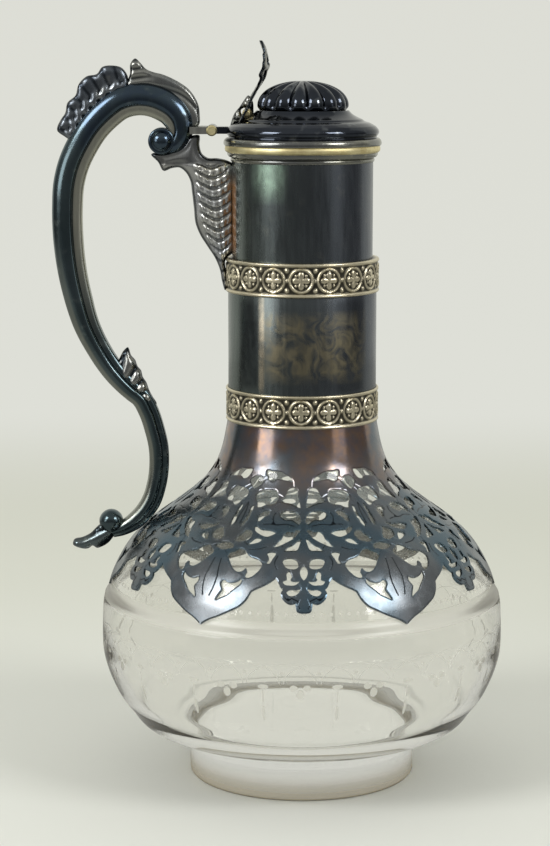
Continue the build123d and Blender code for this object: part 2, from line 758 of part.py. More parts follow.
arm_length = hinge_x - (volute_centre[0] + volute_turn + arm_bite)
with BuildPart() as hinge_arm:
    with BuildSketch(Plane.XZ):
        with Locations((hinge_x, hinge_z)):
            Rectangle(arm_length, hinge_plate, align=(Align.MAX, Align.CENTER))
    extrude(amount=hinge_half_breadth, both=True)
    for place in moving_places:
        with BuildSketch(across(place)):
            Circle(swing)
        extrude(amount=knuckle_length / 2 + knuckle_gap, both=True, mode=Mode.SUBTRACT)
    for place in fixed_places:
        with BuildSketch(across(place)):
            Circle(knuckle_radius)
        extrude(amount=knuckle_length / 2, both=True)
    with BuildSketch(across(0)):
        Circle(pin_radius + pin_gap)
    extrude(amount=2 * hinge_half_breadth, both=True, mode=Mode.SUBTRACT)
    add(main_space.part, mode=Mode.SUBTRACT)
hinge_arm.part.label = "hinge_arm"
export_step(hinge_arm.part, "parts/hinge_arm.step")

# Hinge pin, with a round button on each end.
with BuildPart() as hinge_pin:
    with BuildSketch(across(0)):
        Circle(pin_radius)
    extrude(amount=hinge_half_breadth + pin_gap, both=True)
    for side in (-1, 1):
        seat = Plane(
            origin=(hinge_x, side * (hinge_half_breadth + pin_gap), hinge_z),
            x_dir=(1, 0, 0),
            z_dir=(0, side, 0),
        )
        with BuildSketch(seat):
            Circle(knuckle_radius - pin_gap)
        extrude(amount=pin_button, taper=button_taper)
hinge_pin.part.label = "hinge_pin"
export_step(hinge_pin.part, "parts/hinge_pin.step")

# Lid flange: a rounded edge with a groove below it, and a cove up to the dome.
lining_radius = mouth_radius - seat_gap
flange_line = [
    (lid_radius - lid_groove, lid_bottom),
    (lid_radius - lid_groove, lid_bottom + lid_groove),
    (lid_radius, lid_bottom + lid_edge / 2),
    (lid_radius - lid_edge / 4, lid_bottom + lid_edge),
    (cove_radius + cove_width, lid_bottom + lid_step),
    (cove_radius + cove_width / 2, lid_bottom + lid_step + cove_rise * cove_sag_share),
    (cove_radius, lid_bottom + lid_step + cove_rise),
]
dome_foot = lid_bottom + lid_step + cove_rise + seat_gap
bore_radius = cove_radius - dome_sheet
with BuildPart() as lid_flange:
    with BuildSketch(Plane.XZ) as flange_section:
        with BuildLine():
            Polyline(
                *flange_line,
                (bore_radius, flange_line[-1][1]),
                (bore_radius, lid_bottom + lining_sheet + seat_gap),
                (lining_radius + seat_gap, lid_bottom + lining_sheet + seat_gap),
                (lining_radius + seat_gap, lid_bottom),
                close=True,
            )
        make_face()
    revolve(axis=Axis.Z)
lid_flange.part.label = "lid_flange"
export_step(lid_flange.part, "parts/lid_flange.step")

# Lid dome: a hollow cap with gadroons, parted by grooves that run down from the crown.
dome_radius = cove_radius - dome_step


def dome_points(inset):
    # Quarter oval from the foot to the crown, moved in evenly.
    angles = [90 * run / dome_runs for run in range(dome_runs + 1)]
    width = dome_radius - inset
    height = dome_height - inset
    return [
        (width * cos(radians(angle)) ** dome_fullness, dome_foot + height * sin(radians(angle)))
        for angle in angles[:-1]
    ] + [(0, dome_foot + height)]


with BuildPart() as lid_dome:
    with BuildSketch(Plane.XZ) as dome_section:
        with BuildLine():
            Polyline(*dome_points(0), *dome_points(dome_sheet)[::-1], close=True)
        make_face()
    revolve(axis=Axis.Z)
    for turn in range(gadroons):
        facing = facing_plane(360 * (turn + 0.5) / gadroons)
        groove_plane = Plane(origin=(0, 0, 0), x_dir=facing.z_dir, z_dir=-facing.x_dir)
        with BuildSketch(groove_plane):
            floor_line = dome_points(gadroon_depth)[:-1]
            Polygon(
                *floor_line,
                (floor_line[-1][0], dome_foot + dome_height),
                (dome_radius + gadroon_depth, dome_foot + dome_height),
                (dome_radius + gadroon_depth, dome_foot),
                align=None,
            )
        extrude(amount=gadroon_groove / 2, both=True, mode=Mode.SUBTRACT)
lid_dome.part.label = "lid_dome"
export_step(lid_dome.part, "parts/lid_dome.step")

# Lining plate, let into the underside of the flange.
with BuildPart() as lid_lining:
    with BuildSketch(Plane.XY.offset(lid_bottom)):
        Circle(lining_radius)
    extrude(amount=lining_sheet)
lid_lining.part.label = "lid_lining"
export_step(lid_lining.part, "parts/lid_lining.step")

# Bezel: the ring under the lining that centres the shut lid in the mouth.
with BuildPart() as lid_bezel:
    with BuildSketch(Plane.XY.offset(rim_top - bezel_depth)):
        Circle(mouth_radius - bezel_gap)
        Circle(mouth_radius - bezel_gap - bezel_wall, mode=Mode.SUBTRACT)
    extrude(amount=bezel_depth + lid_gap - seat_gap)
lid_bezel.part.label = "lid_bezel"
export_step(lid_bezel.part, "parts/lid_bezel.step")

# What the strap and the thumbpiece are cut by, so that they seat on the lid.
with BuildPart() as lid_space:
    with BuildSketch(Plane.XZ):
        with BuildLine():
            Polyline(
                (0, lid_bottom),
                *[(radius + seat_gap, height) for radius, height in flange_line],
                *[(radius + seat_gap, height + seat_gap) for radius, height in dome_points(0)[:-1]],
                (0, dome_foot + dome_height + seat_gap),
                close=True,
            )
        make_face()
    revolve(axis=Axis.Z)

# Hinge strap: the two moving knuckles, and a plate soldered to the edge of the flange.
with BuildPart() as hinge_strap:
    with BuildSketch(Plane.XZ):
        with Locations((hinge_x, hinge_z)):
            Rectangle(hinge_standoff + lid_groove, hinge_plate, align=(Align.MIN, Align.CENTER))
    extrude(amount=knuckle_pitch + knuckle_length / 2, both=True)
    for place in fixed_places:
        with BuildSketch(across(place)):
            Circle(swing)
        extrude(amount=knuckle_length / 2 + knuckle_gap, both=True, mode=Mode.SUBTRACT)
    for place in moving_places:
        with BuildSketch(across(place)):
            Circle(knuckle_radius)
        extrude(amount=knuckle_length / 2, both=True)
    with BuildSketch(across(0)):
        Circle(pin_radius + pin_gap)
    extrude(amount=hinge_half_breadth, both=True, mode=Mode.SUBTRACT)
    add(lid_space.part, mode=Mode.SUBTRACT)
hinge_strap.part.label = "lid_hinge_strap"
export_step(hinge_strap.part, "parts/lid_hinge_strap.step")

# Thumbpiece: a bracket on the cove and an openwork leaf that stands up from it.
with BuildPart() as thumbpiece:
    with BuildSketch(Plane.XZ) as thumb_side:
        with Locations((-lid_radius, lid_bottom)):
            Polygon(*thumb_side_outline, align=None)
    extrude(amount=thumb_half_width, both=True)
    with BuildSketch(Plane.YZ.offset(-lid_radius - thumb_half_width)) as thumb_front:
        with Locations((0, lid_bottom)):
            Polygon(*thumb_front_outline, align=None)
        mirror(about=Plane.YZ)
    extrude(amount=4 * thumb_half_width, mode=Mode.INTERSECT)
    with BuildSketch(Plane.YZ.offset(-lid_radius - thumb_half_width)) as thumb_holes:
        with Locations((0, lid_bottom)):
            for outline in thumb_hole_outlines:
                Polygon(*outline, align=None)
        mirror(about=Plane.YZ)
    extrude(amount=4 * thumb_half_width, mode=Mode.SUBTRACT)
    add(lid_space.part, mode=Mode.SUBTRACT)
thumbpiece.part.label = "thumbpiece"
export_step(thumbpiece.part, "parts/thumbpiece.step")
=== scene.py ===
import bpy
import numpy as np
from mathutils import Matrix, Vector
from mathutils.geometry import delaunay_2d_cdt


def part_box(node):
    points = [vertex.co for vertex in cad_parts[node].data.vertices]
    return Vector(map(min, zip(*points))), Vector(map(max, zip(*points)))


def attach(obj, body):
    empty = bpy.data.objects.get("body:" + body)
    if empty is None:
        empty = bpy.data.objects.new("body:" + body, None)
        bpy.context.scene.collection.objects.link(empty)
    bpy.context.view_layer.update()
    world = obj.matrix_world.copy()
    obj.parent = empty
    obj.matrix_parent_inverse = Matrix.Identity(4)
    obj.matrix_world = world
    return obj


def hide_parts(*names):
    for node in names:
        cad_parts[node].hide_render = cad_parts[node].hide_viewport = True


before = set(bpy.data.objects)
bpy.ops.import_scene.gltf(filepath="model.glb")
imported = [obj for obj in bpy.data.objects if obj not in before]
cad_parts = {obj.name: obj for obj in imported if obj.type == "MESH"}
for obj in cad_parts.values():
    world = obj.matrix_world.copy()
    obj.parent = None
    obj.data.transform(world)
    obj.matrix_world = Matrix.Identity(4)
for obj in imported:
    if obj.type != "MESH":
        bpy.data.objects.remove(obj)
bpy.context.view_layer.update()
mm = 0.001
print("frame loaded")


def edge(node, side, axis):
    # One side of a CAD node's box in millimetres: side 0 is the lowest, 1 the highest.
    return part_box(node)[side][axis] / mm


def smoothLine(points, count=None, step=None, closed=False):
    # Cubic through the points: each stretch is a Hermite cubic whose end slopes are the mean
    # slopes of the neighbours over the distance along the chords.
    p = np.asarray(points, float)
    if closed:
        p = np.vstack([p[-2:], p, p[:3]])
    along = np.concatenate([[0], np.cumsum(np.linalg.norm(np.diff(p, axis=0), axis=1))])
    slope = np.gradient(p, along, axis=0)
    low, high = (along[2], along[-3]) if closed else (along[0], along[-1])
    if count is None:
        count = max(3, int(round((high - low) / step)) + 1)
    at = np.linspace(low, high, count)
    if closed:
        at = at[:-1]
    k = np.clip(np.searchsorted(along, at, side="right") - 1, 0, len(p) - 2)
    span = (along[k + 1] - along[k])[:, None]
    t = ((at - along[k]) / span[:, 0])[:, None]
    return (
        (2 * t**3 - 3 * t**2 + 1) * p[k]
        + (t**3 - 2 * t**2 + t) * span * slope[k]
        + (3 * t**2 - 2 * t**3) * p[k + 1]
        + (t**3 - t**2) * span * slope[k + 1]
    )


def ramp(value, low, high):
    # 0 under low, 1 over high, and a smooth step between: 3t^2 - 2t^3.
    t = np.clip((value - low) / (high - low), 0, 1)
    return t * t * (3 - 2 * t)


def gridFaces(rows, columns, wrapRows=False, wrapColumns=False):
    # Corner numbers of the four-sided faces of a grid, closed round either way where asked.
    i, j = np.meshgrid(
        np.arange(rows if wrapRows else rows - 1),
        np.arange(columns if wrapColumns else columns - 1),
        indexing="ij",
    )
    i, j = i.ravel(), j.ravel()
    ni, nj = (i + 1) % rows, (j + 1) % columns
    return np.stack([i * columns + j, i * columns + nj, ni * columns + nj, ni * columns + j], axis=1)


def welded(corners, faces, attributes):
    # Corners at the same place become one, and faces that lose a corner by it become triangles.
    key = np.round(corners, 4)
    _, first, back = np.unique(key, axis=0, return_index=True, return_inverse=True)
    back = back.ravel()
    attributes = {name: values[first] for name, values in attributes.items()}
    kept = []
    for block in faces:
        block = back[block]
        same = block == np.roll(block, -1, axis=1)
        kept.append(block[~same.any(axis=1)])
        if block.shape[1] == 4:
            once = same.sum(axis=1) == 1
            kept.append(block[once][~same[once]].reshape(-1, 3))
    return corners[first], [block for block in kept if len(block)], attributes


def turnedOut(corners, faces):
    # The volume under the faces is a sixth of the triple products of their triangles. It is
    # negative where the faces point inwards, and then every face is turned round.
    volume = 0.0
    for block in faces:
        for last in range(2, block.shape[1]):
            a, b, c = corners[block[:, 0]], corners[block[:, last - 1]], corners[block[:, last]]
            volume += np.einsum("ij,ij->i", a, np.cross(b, c)).sum()
    return [block[:, ::-1] for block in faces] if volume < 0 else faces


def addPiece(name, corners, faces, body, material, nodes=(), attributes=None, sharp=35):
    # One object at the origin, from corners in millimetres and blocks of face corner numbers.
    corners, faces, attributes = welded(np.asarray(corners, float), faces, attributes or {})
    faces = turnedOut(corners, faces)
    mesh = bpy.data.meshes.new(name)
    mesh.vertices.add(len(corners))
    mesh.vertices.foreach_set("co", (corners * mm).astype(np.float32).ravel())
    loops = np.concatenate([block.ravel() for block in faces]).astype(np.int32)
    sizes = np.concatenate([np.full(len(block), block.shape[1]) for block in faces])
    mesh.loops.add(len(loops))
    mesh.loops.foreach_set("vertex_index", loops)
    mesh.polygons.add(len(sizes))
    mesh.polygons.foreach_set("loop_start", (np.cumsum(sizes) - sizes).astype(np.int32))
    mesh.polygons.foreach_set("use_smooth", np.ones(len(sizes), bool))
    mesh.update(calc_edges=True)
    mesh.validate()
    for label, values in attributes.items():
        layer = mesh.attributes.new(label, "FLOAT", "POINT")
        layer.data.foreach_set("value", values.astype(np.float32))
    mesh.set_sharp_from_angle(angle=np.radians(sharp))
    piece = bpy.data.objects.new(name, mesh)
    bpy.context.scene.collection.objects.link(piece)
    mesh.materials.append(material)
    if nodes:
        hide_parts(*nodes)
    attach(piece, body)
    return piece


def around(profile, columns, push=None, closed=True):
    # Surface of revolution: each profile point (radius, height) is turned round the Z axis, and
    # push(angle, row) moves it out along the radius.
    profile = np.asarray(profile, float)
    angle = np.linspace(0, 2 * np.pi, columns, endpoint=False)
    radius = np.repeat(profile[:, :1], columns, axis=1)
    height = np.repeat(profile[:, 1:2], columns, axis=1)
    if push is not None:
        radius = radius + push(angle[None, :], np.arange(len(profile))[:, None])
    points = np.stack([radius * np.cos(angle), radius * np.sin(angle), height], axis=-1)
    return points.reshape(-1, 3), [gridFaces(len(profile), columns, closed, True)]


def offsetLine(line, distance):
    # The line moved sideways: each point goes along the normal, a quarter turn from the slope.
    slope = np.gradient(line, axis=0)
    slope /= np.linalg.norm(slope, axis=1)[:, None]
    return line + distance * np.stack([slope[:, 1], -slope[:, 0]], axis=1)


def inside(points, outline):
    # Even-odd rule: a point is inside where a level ray from it crosses the outline an odd
    # number of times.
    a, b = outline, np.roll(outline, -1, axis=0)
    x, y = points[:, :1], points[:, 1:2]
    spans = (a[:, 1] > y) != (b[:, 1] > y)
    rise = np.where(np.abs(b[:, 1] - a[:, 1]) < 1e-9, 1e-9, b[:, 1] - a[:, 1])
    crossing = a[:, 0] + (y - a[:, 1]) * (b[:, 0] - a[:, 0]) / rise
    return (spans & (x < crossing)).sum(axis=1) % 2 == 1


def distanceTo(points, lines):
    # Smallest distance from each point to any stretch of the lines.
    best = np.full(len(points), 1e9)
    for line in lines:
        a, b = line[:-1], line[1:]
        d = b - a
        t = ((points[:, None] - a) * d).sum(-1) / np.maximum((d * d).sum(-1), 1e-12)
        gap = points[:, None] - a - np.clip(t, 0, 1)[..., None] * d
        best = np.minimum(best, np.sqrt((gap * gap).sum(-1)).min(axis=1))
    return best


def ring(outline):
    return np.vstack([outline, outline[:1]])


def pierced(outline, holes, spacing, lines=()):
    # Triangles over an outline less its holes. The outline, the holes and the extra lines are kept
    # as edges, and even points at the spacing fill the field, clear of them.
    loops = [np.asarray(outline, float)] + [np.asarray(hole, float) for hole in holes]
    low, high = loops[0].min(0), loops[0].max(0)
    gx, gy = np.meshgrid(np.arange(low[0], high[0], spacing), np.arange(low[1], high[1], spacing * 0.87))
    gx = gx + (np.arange(len(gx)) % 2)[:, None] * spacing / 2
    field = np.stack([gx.ravel(), gy.ravel()], axis=1)
    field = field[inside(field, loops[0])]
    keep = distanceTo(field, [ring(loop) for loop in loops] + list(lines)) > spacing * 0.55
    for hole in loops[1:]:
        keep &= ~inside(field, hole)
    points, edges = [], []
    for loop in loops:
        start = len(points)
        points += loop.tolist()
        edges += [(start + k, start + (k + 1) % len(loop)) for k in range(len(loop))]
    for line in lines:
        start = len(points)
        points += np.asarray(line).tolist()
        edges += [(start + k, start + k + 1) for k in range(len(line) - 1)]
    points += field[keep].tolist()
    made = delaunay_2d_cdt([Vector(p) for p in points], edges, [], 0, 1e-4)
    flat = np.array([tuple(v) for v in made[0]])
    triangles = np.array([f for f in made[2] if len(f) == 3])
    middle = flat[triangles].mean(axis=1)
    solid = inside(middle, loops[0])
    for hole in loops[1:]:
        solid &= ~inside(middle, hole)
    triangles = triangles[solid]
    used, back = np.unique(triangles, return_inverse=True)
    return flat[used], back.reshape(-1, 3)


def shellFaces(triangles, count):
    # Front triangles, the same ones at the back turned round, and a wall along each free edge,
    # which is an edge that belongs to one triangle only.
    edges = np.concatenate([triangles[:, [0, 1]], triangles[:, [1, 2]], triangles[:, [2, 0]]])
    key = np.sort(edges, axis=1)
    _, first, times = np.unique(key, axis=0, return_index=True, return_counts=True)
    free = edges[first[times == 1]]
    wall = np.stack([free[:, 1], free[:, 0], free[:, 0] + count, free[:, 1] + count], axis=1)
    return [np.vstack([triangles, triangles[:, ::-1] + count]), wall]


def alongPath(path, across, section, scale):
    # Tube: each section point (out, side) is set at each path point along the path's normal and
    # along Y, times the local size. The ends close on their middle point.
    slope = np.gradient(path, axis=0)
    slope /= np.linalg.norm(slope, axis=1)[:, None]
    normal = np.stack([slope[:, 1], -slope[:, 0]], axis=1) * across
    out = section[None, :, 0] * scale[:, None, 0]
    side = section[None, :, 1] * scale[:, None, 1]
    x = path[:, None, 0] + normal[:, None, 0] * out
    z = path[:, None, 1] + normal[:, None, 1] * out
    points = np.stack([x, side, z], axis=-1)
    caps = points[[0, -1]].mean(axis=1, keepdims=True).repeat(points.shape[1], axis=1)
    points = np.concatenate([caps[:1], points, caps[1:]])
    return points.reshape(-1, 3), [gridFaces(points.shape[0], points.shape[1], False, True)]


def linear(text, alpha=1.0):
    # sRGB hex to linear light: c/12.92 in the dark part, ((c + 0.055)/1.055)^2.4 above it.
    c = np.array([int(text[k : k + 2], 16) for k in (1, 3, 5)]) / 255
    c = np.where(c <= 0.04045, c / 12.92, ((c + 0.055) / 1.055) ** 2.4)
    return (*c.tolist(), alpha)


def add(tree, kind, inputs=(), out=0, **settings):
    # One node: its properties are set, its inputs are set or linked by number or name, and one
    # of its outputs comes back.
    made = tree.nodes.new("ShaderNode" + kind)
    for key, value in settings.items():
        setattr(made, key, value)
    for key, value in inputs.items() if isinstance(inputs, dict) else enumerate(inputs):
        if isinstance(value, bpy.types.NodeSocket):
            tree.links.new(value, made.inputs[key])
        else:
            made.inputs[key].default_value = value
    return made.outputs[out] if made.outputs else made


def blank(name):
    material = bpy.data.materials.new(name)
    material.use_nodes = True
    tree = material.node_tree
    tree.nodes.clear()
    return material, tree, add(tree, "TexCoord", out="Object")


def between(tree, value, low, high, soft):
    # 1 between two heights or places in millimetres, falling to 0 over the soft distance.
    rising = add(tree, "MapRange", [value, (low - soft) * mm, low * mm, 0.0, 1.0])
    falling = add(tree, "MapRange", [value, high * mm, (high + soft) * mm, 1.0, 0.0])
    return add(tree, "Math", [rising, falling], operation="MULTIPLY")


def silverPlate(name, look):
    # Silver plate under a sulphide tarnish, from years in the air: a thin dark film over a
    # hand-polished surface, thick in clouds, thinner and bluer between them and rubbed off in
    # small places, with fine wipe marks that only show in the gloss.
    material, tree, place = blank(name)
    x, _, z = (add(tree, "SeparateXYZ", [place], out=k) for k in range(3))
    cloud = add(tree, "TexNoise", {"Vector": place, "Scale": 1000 / look["cloud"], "Detail": 4.0})
    fine = add(tree, "TexNoise", {"Vector": place, "Scale": 1000 / 5, "Detail": 4.0})
    along = add(tree, "Mapping", {"Vector": place, "Scale": (1.0, 1.0, 0.12)})
    wipes = add(tree, "TexNoise", {"Vector": along, "Scale": 1000 / 1.6, "Detail": 2.0})
    film = add(tree, "MapRange", [cloud, 0.35, 0.68, 0.0, 1.0])
    colour = add(tree, "Mix", {0: film, 6: linear(look["thick"]), 7: linear(look["thin"])}, 2, data_type="RGBA")
    worn = add(tree, "MapRange", [fine, 0.6, 0.74, 0.0, 0.5])
    colour = add(tree, "Mix", {0: worn, 6: colour, 7: linear(look["rubbed"])}, 2, data_type="RGBA")
    rough = add(tree, "MapRange", [wipes, 0.2, 0.8, look["rough"] * 0.75, look["rough"] * 1.35])
    metal = 1.0
    if "green" in look:  # the film turns greener to the left and bluer to the right
        turn = add(tree, "MapRange", [x, -0.024, 0.02, 0.0, 1.0])
        tint = add(tree, "Mix", {0: turn, 6: linear(look["green"]), 7: linear(look["blue"])}, 2, data_type="RGBA")
        colour = add(tree, "Mix", {0: 0.5, 6: colour, 7: tint}, 2, data_type="RGBA")
    if "copper" in look:  # copper and plum film between two heights, copper to the left
        patch = add(tree, "MapRange", [add(tree, "TexNoise", {"Vector": place, "Scale": 50.0}), 0.36, 0.56, 0.6, 1.0])
        zone = add(tree, "Math", [between(tree, z, *look["zone"]), patch], operation="MULTIPLY")
        turn = add(tree, "MapRange", [x, -0.02, 0.006, 0.0, 1.0])
        tint = add(tree, "Mix", {0: turn, 6: linear(look["copper"]), 7: linear(look["plum"])}, 2, data_type="RGBA")
        colour = add(tree, "Mix", {0: zone, 6: colour, 7: tint}, 2, data_type="RGBA")
    streaks = add(tree, "TexNoise", {"Vector": place, "Scale": 1000 / 7, "Detail": 5.0, "Distortion": 1.6})
    for spot in look.get("patchesAndPaintedLight", ()):  # smear and tarnish-tint patches, and patches of painted highlight and painted shade, broken up by the streaks
        area = add(tree, "Math", [between(tree, x, *spot["x"]), between(tree, z, *spot["z"])], operation="MULTIPLY")
        area = add(tree, "Math", [area, add(tree, "MapRange", [streaks, 0.36, 0.62, *spot["share"]])], operation="MULTIPLY")
        colour = add(tree, "Mix", {0: area, 6: colour, 7: linear(spot["tint"])}, 2, data_type="RGBA")
        rough = add(tree, "Math", [area, spot["dull"], rough], operation="MULTIPLY_ADD")
    if "leftEdgeBrown" in look:  # a brown, less metallic strip down the left side of the sleeve, beside the handle
        leftEdgeShare = add(tree, "MapRange", [x, -0.0244, -0.0251, 0.0, 0.9])
        leftEdgeShare = add(tree, "Math", [leftEdgeShare, between(tree, z, 204, 226, 6)], operation="MULTIPLY")
        colour = add(tree, "Mix", {0: leftEdgeShare, 6: colour, 7: linear(look["leftEdgeBrown"])}, 2, data_type="RGBA")
        metal = add(tree, "Math", [1.0, leftEdgeShare], operation="SUBTRACT")
    if "dark" in look:  # the tarnish stays in the recesses and is rubbed off the high spots; on the console the dark also paints the shade under each overlapping leaf
        raised = add(tree, "Attribute", out="Fac", attribute_name="relief")
        raised = add(tree, "MapRange", [raised, 0.1, 0.7, 0.0, 1.0])
        colour = add(tree, "Mix", {0: raised, 6: linear(look["dark"]), 7: colour}, 2, data_type="RGBA")
    if "strip" in look:  # the flat strip inside the scrolls is duller than the rest, and painted paler as a painted reflection of the pale backdrop
        flange = add(tree, "Attribute", out="Fac", attribute_name="flange")
        colour = add(tree, "Mix", {0: flange, 6: colour, 7: linear(look["strip"])}, 2, data_type="RGBA")
        rough = add(tree, "Math", [rough, add(tree, "Math", [flange, 0.14], operation="MULTIPLY")], operation="ADD")
    dents = add(tree, "Mix", {0: 0.2, 2: cloud, 3: fine}, 0, data_type="FLOAT")
    bump = add(tree, "Bump", {"Height": dents, "Strength": 0.25, "Distance": 0.4 * mm})
    shader = {"Base Color": colour, "Metallic": metal, "Roughness": rough, "Normal": bump}
    add(tree, "OutputMaterial", [add(tree, "BsdfPrincipled", shader)])
    return material


neckPlate = silverPlate("neckPlate", {
    "thick": "#5b5d60", "thin": "#6c6e6e", "rubbed": "#84837c", "rough": 0.25, "cloud": 26,
    "green": "#616e66", "blue": "#535a66", "copper": "#e0bca4", "plum": "#a5989b", "zone": (112, 137, 7),
    "leftEdgeBrown": "#7d5632", "patchesAndPaintedLight": (
        # painted highlight: a pale green sheen high on the left
        {"x": (-16, -9, 4), "z": (229, 233, 9), "share": (0.5, 0.85), "tint": "#adc8b3", "dull": 0.0},
        # painted shade: a dark strip low on the left, beside the painted highlight below
        {"x": (-22.6, -17.4, 1.4), "z": (154, 183, 3), "share": (0.45, 0.7), "tint": "#34383b", "dull": 0.0},
        # painted highlight: a narrow pale streak low on the left
        {"x": (-15.9, -14.8, 0.8), "z": (154, 184, 4), "share": (0.4, 0.9), "tint": "#b4aa95", "dull": -0.04},
        # painted shade: a dark strip low on the right
        {"x": (13, 21, 3), "z": (152, 184, 3), "share": (0.4, 0.6), "tint": "#34383b", "dull": 0.0},
        # a brown smear across the lower sleeve
        {"x": (-11, 19, 5), "z": (159, 177, 5), "share": (0.0, 0.85), "tint": "#8c846c", "dull": 0.12},
    ),
})
handlePlate = silverPlate("handlePlate", {
    # strip: painted reflection of the pale backdrop on the scrolls' dull side
    "thick": "#465356", "thin": "#5b696d", "rubbed": "#8d9794", "rough": 0.17, "cloud": 22, "strip": "#b4b4a5",
    "patchesAndPaintedLight": ({"x": (-80, -30, 6), "z": (242, 280, 10), "share": (0.35, 0.75), "tint": "#435062", "dull": 0.0},),
})
lidPlate = silverPlate("lidPlate", {"thick": "#363a41", "thin": "#4a4f57", "rubbed": "#8d9294", "rough": 0.1, "cloud": 24})
leafPlate = silverPlate("leafPlate", {
    "thick": "#8a8d8c", "thin": "#a3a39c", "rubbed": "#c9c7b8", "rough": 0.26, "cloud": 14, "dark": "#2c3236",
})
crestPlate = silverPlate("crestPlate", {
    "thick": "#6d747c", "thin": "#858b90", "rubbed": "#c2c1b6", "rough": 0.26, "cloud": 12, "dark": "#2b3138",
})
tailPlate = silverPlate("tailPlate", {
    "thick": "#5a6468", "thin": "#6f797b", "rubbed": "#a3a89f", "rough": 0.22, "cloud": 12, "dark": "#2c3236",
})
consolePlate = silverPlate("consolePlate", {
    "thick": "#c3c5c6", "thin": "#d6d5cd", "rubbed": "#e9e6d8", "rough": 0.27, "cloud": 16, "dark": "#383d42",
})
bandPlate = silverPlate("bandPlate", {
    "thick": "#d4caad", "thin": "#e2d9bf", "rubbed": "#ece4cd", "rough": 0.32, "cloud": 18, "dark": "#4b483f",
})
collarPlate = silverPlate("collarPlate", {"thick": "#7b7c7a", "thin": "#989789", "rubbed": "#bab7a6", "rough": 0.22, "cloud": 20})
innerPlate = silverPlate("innerPlate", {"thick": "#8b8d88", "thin": "#a5a49b", "rubbed": "#b9b7aa", "rough": 0.38, "cloud": 26})
print("silver materials made")


def skirtPlate(look):
    # Pierced and chased plate: the same tarnish, with the cut edges worn bright, the chased lines
    # dark and the lappets polished. "rim" and "chase" are distances in millimetres to the nearest
    # edge and line, and "lappet" is 1 on the plain field of a lappet.
    material, tree, place = blank("skirtPlate")
    z = add(tree, "SeparateXYZ", [place], out=2)
    rim, chase, lappet = (add(tree, "Attribute", out="Fac", attribute_name=k) for k in ("rim", "chase", "lappet"))
    cloud = add(tree, "TexNoise", {"Vector": place, "Scale": 1000 / 20, "Detail": 4.0})
    fine = add(tree, "TexNoise", {"Vector": place, "Scale": 1000 / 3.5, "Detail": 4.0})
    film = add(tree, "MapRange", [cloud, 0.38, 0.62, 0.0, 1.0])
    colour = add(tree, "Mix", {0: film, 6: linear(look["blue"]), 7: linear(look["grey"])}, 2, data_type="RGBA")
    polished = add(tree, "MapRange", [rim, 0.1, 0.9, 0.45, 1.0])
    polished = add(tree, "Math", [polished, lappet], operation="MULTIPLY")
    polished = add(tree, "Math", [polished, add(tree, "MapRange", [cloud, 0.3, 0.5, 0.5, 1.0])], operation="MULTIPLY")
    colour = add(tree, "Mix", {0: polished, 6: colour, 7: linear(look["silver"])}, 2, data_type="RGBA")
    patch = add(tree, "MapRange", [add(tree, "TexNoise", {"Vector": place, "Scale": 55.0}), 0.4, 0.6, 0.2, 1.0])
    warm = add(tree, "Math", [add(tree, "MapRange", [z, 0.108, 0.134, 0.0, 1.0]), patch], operation="MULTIPLY")
    turn = add(tree, "MapRange", [fine, 0.35, 0.65, 0.0, 1.0])
    tint = add(tree, "Mix", {0: turn, 6: linear(look["copper"]), 7: linear(look["plum"])}, 2, data_type="RGBA")
    colour = add(tree, "Mix", {0: warm, 6: colour, 7: tint}, 2, data_type="RGBA")
    groove = add(tree, "MapRange", [chase, 0.08, 0.3, 0.0, 1.0])
    colour = add(tree, "Mix", {0: groove, 6: linear(look["line"]), 7: colour}, 2, data_type="RGBA")
    bevel = add(tree, "MapRange", [rim, 0.0, 0.45, 0.0, 1.0])
    surface = add(tree, "Math", [groove, 0.6, bevel], operation="MULTIPLY_ADD")
    surface = add(tree, "Math", [fine, 0.12, surface], operation="MULTIPLY_ADD")
    bump = add(tree, "Bump", {"Height": surface, "Strength": 0.6, "Distance": 0.22 * mm})
    rough = add(tree, "MapRange", [fine, 0.25, 0.75, look["rough"] * 0.75, look["rough"] * 1.3])
    rough = add(tree, "Math", [rough, add(tree, "MapRange", [warm, 0.0, 1.0, 1.0, 0.6])], operation="MULTIPLY")
    shader = {"Base Color": colour, "Metallic": 1.0, "Roughness": rough, "Normal": bump}
    add(tree, "OutputMaterial", [add(tree, "BsdfPrincipled", shader)])
    return material


def baredBrass(look):
    # Yellow brass where the plate has worn through: warm, a little dull, darker in the scratches.
    material, tree, place = blank("baredBrass")
    cloud = add(tree, "TexNoise", {"Vector": place, "Scale": 1000 / 4, "Detail": 4.0})
    across = add(tree, "Mapping", {"Vector": place, "Scale": (1.0, 1.0, 4.0)})
    marks = add(tree, "TexNoise", {"Vector": across, "Scale": 1000 / 0.9, "Detail": 2.0})
    dull = add(tree, "MapRange", [cloud, 0.4, 0.65, 0.0, 1.0])
    colour = add(tree, "Mix", {0: dull, 6: linear(look["bright"]), 7: linear(look["dull"])}, 2, data_type="RGBA")
    bump = add(tree, "Bump", {"Height": marks, "Strength": 0.2, "Distance": 0.15 * mm})
    rough = add(tree, "MapRange", [marks, 0.2, 0.8, look["rough"] * 0.8, look["rough"] * 1.3])
    shader = {"Base Color": colour, "Metallic": 1.0, "Roughness": rough, "Normal": bump}
    add(tree, "OutputMaterial", [add(tree, "BsdfPrincipled", shader)])
    return material


def setPlaster():
    # Set bedding plaster: chalky, off-white and fully dull, with small pits.
    material, tree, place = blank("setPlaster")
    pits = add(tree, "TexNoise", {"Vector": place, "Scale": 1000 / 1.2, "Detail": 3.0})
    colour = add(tree, "Mix", {0: pits, 6: linear("#b9b2a4"), 7: linear("#d6d1c6")}, 2, data_type="RGBA")
    bump = add(tree, "Bump", {"Height": pits, "Strength": 0.5, "Distance": 0.2 * mm})
    add(tree, "OutputMaterial", [add(tree, "BsdfPrincipled", {"Base Color": colour, "Roughness": 0.9, "Normal": bump})])
    return material


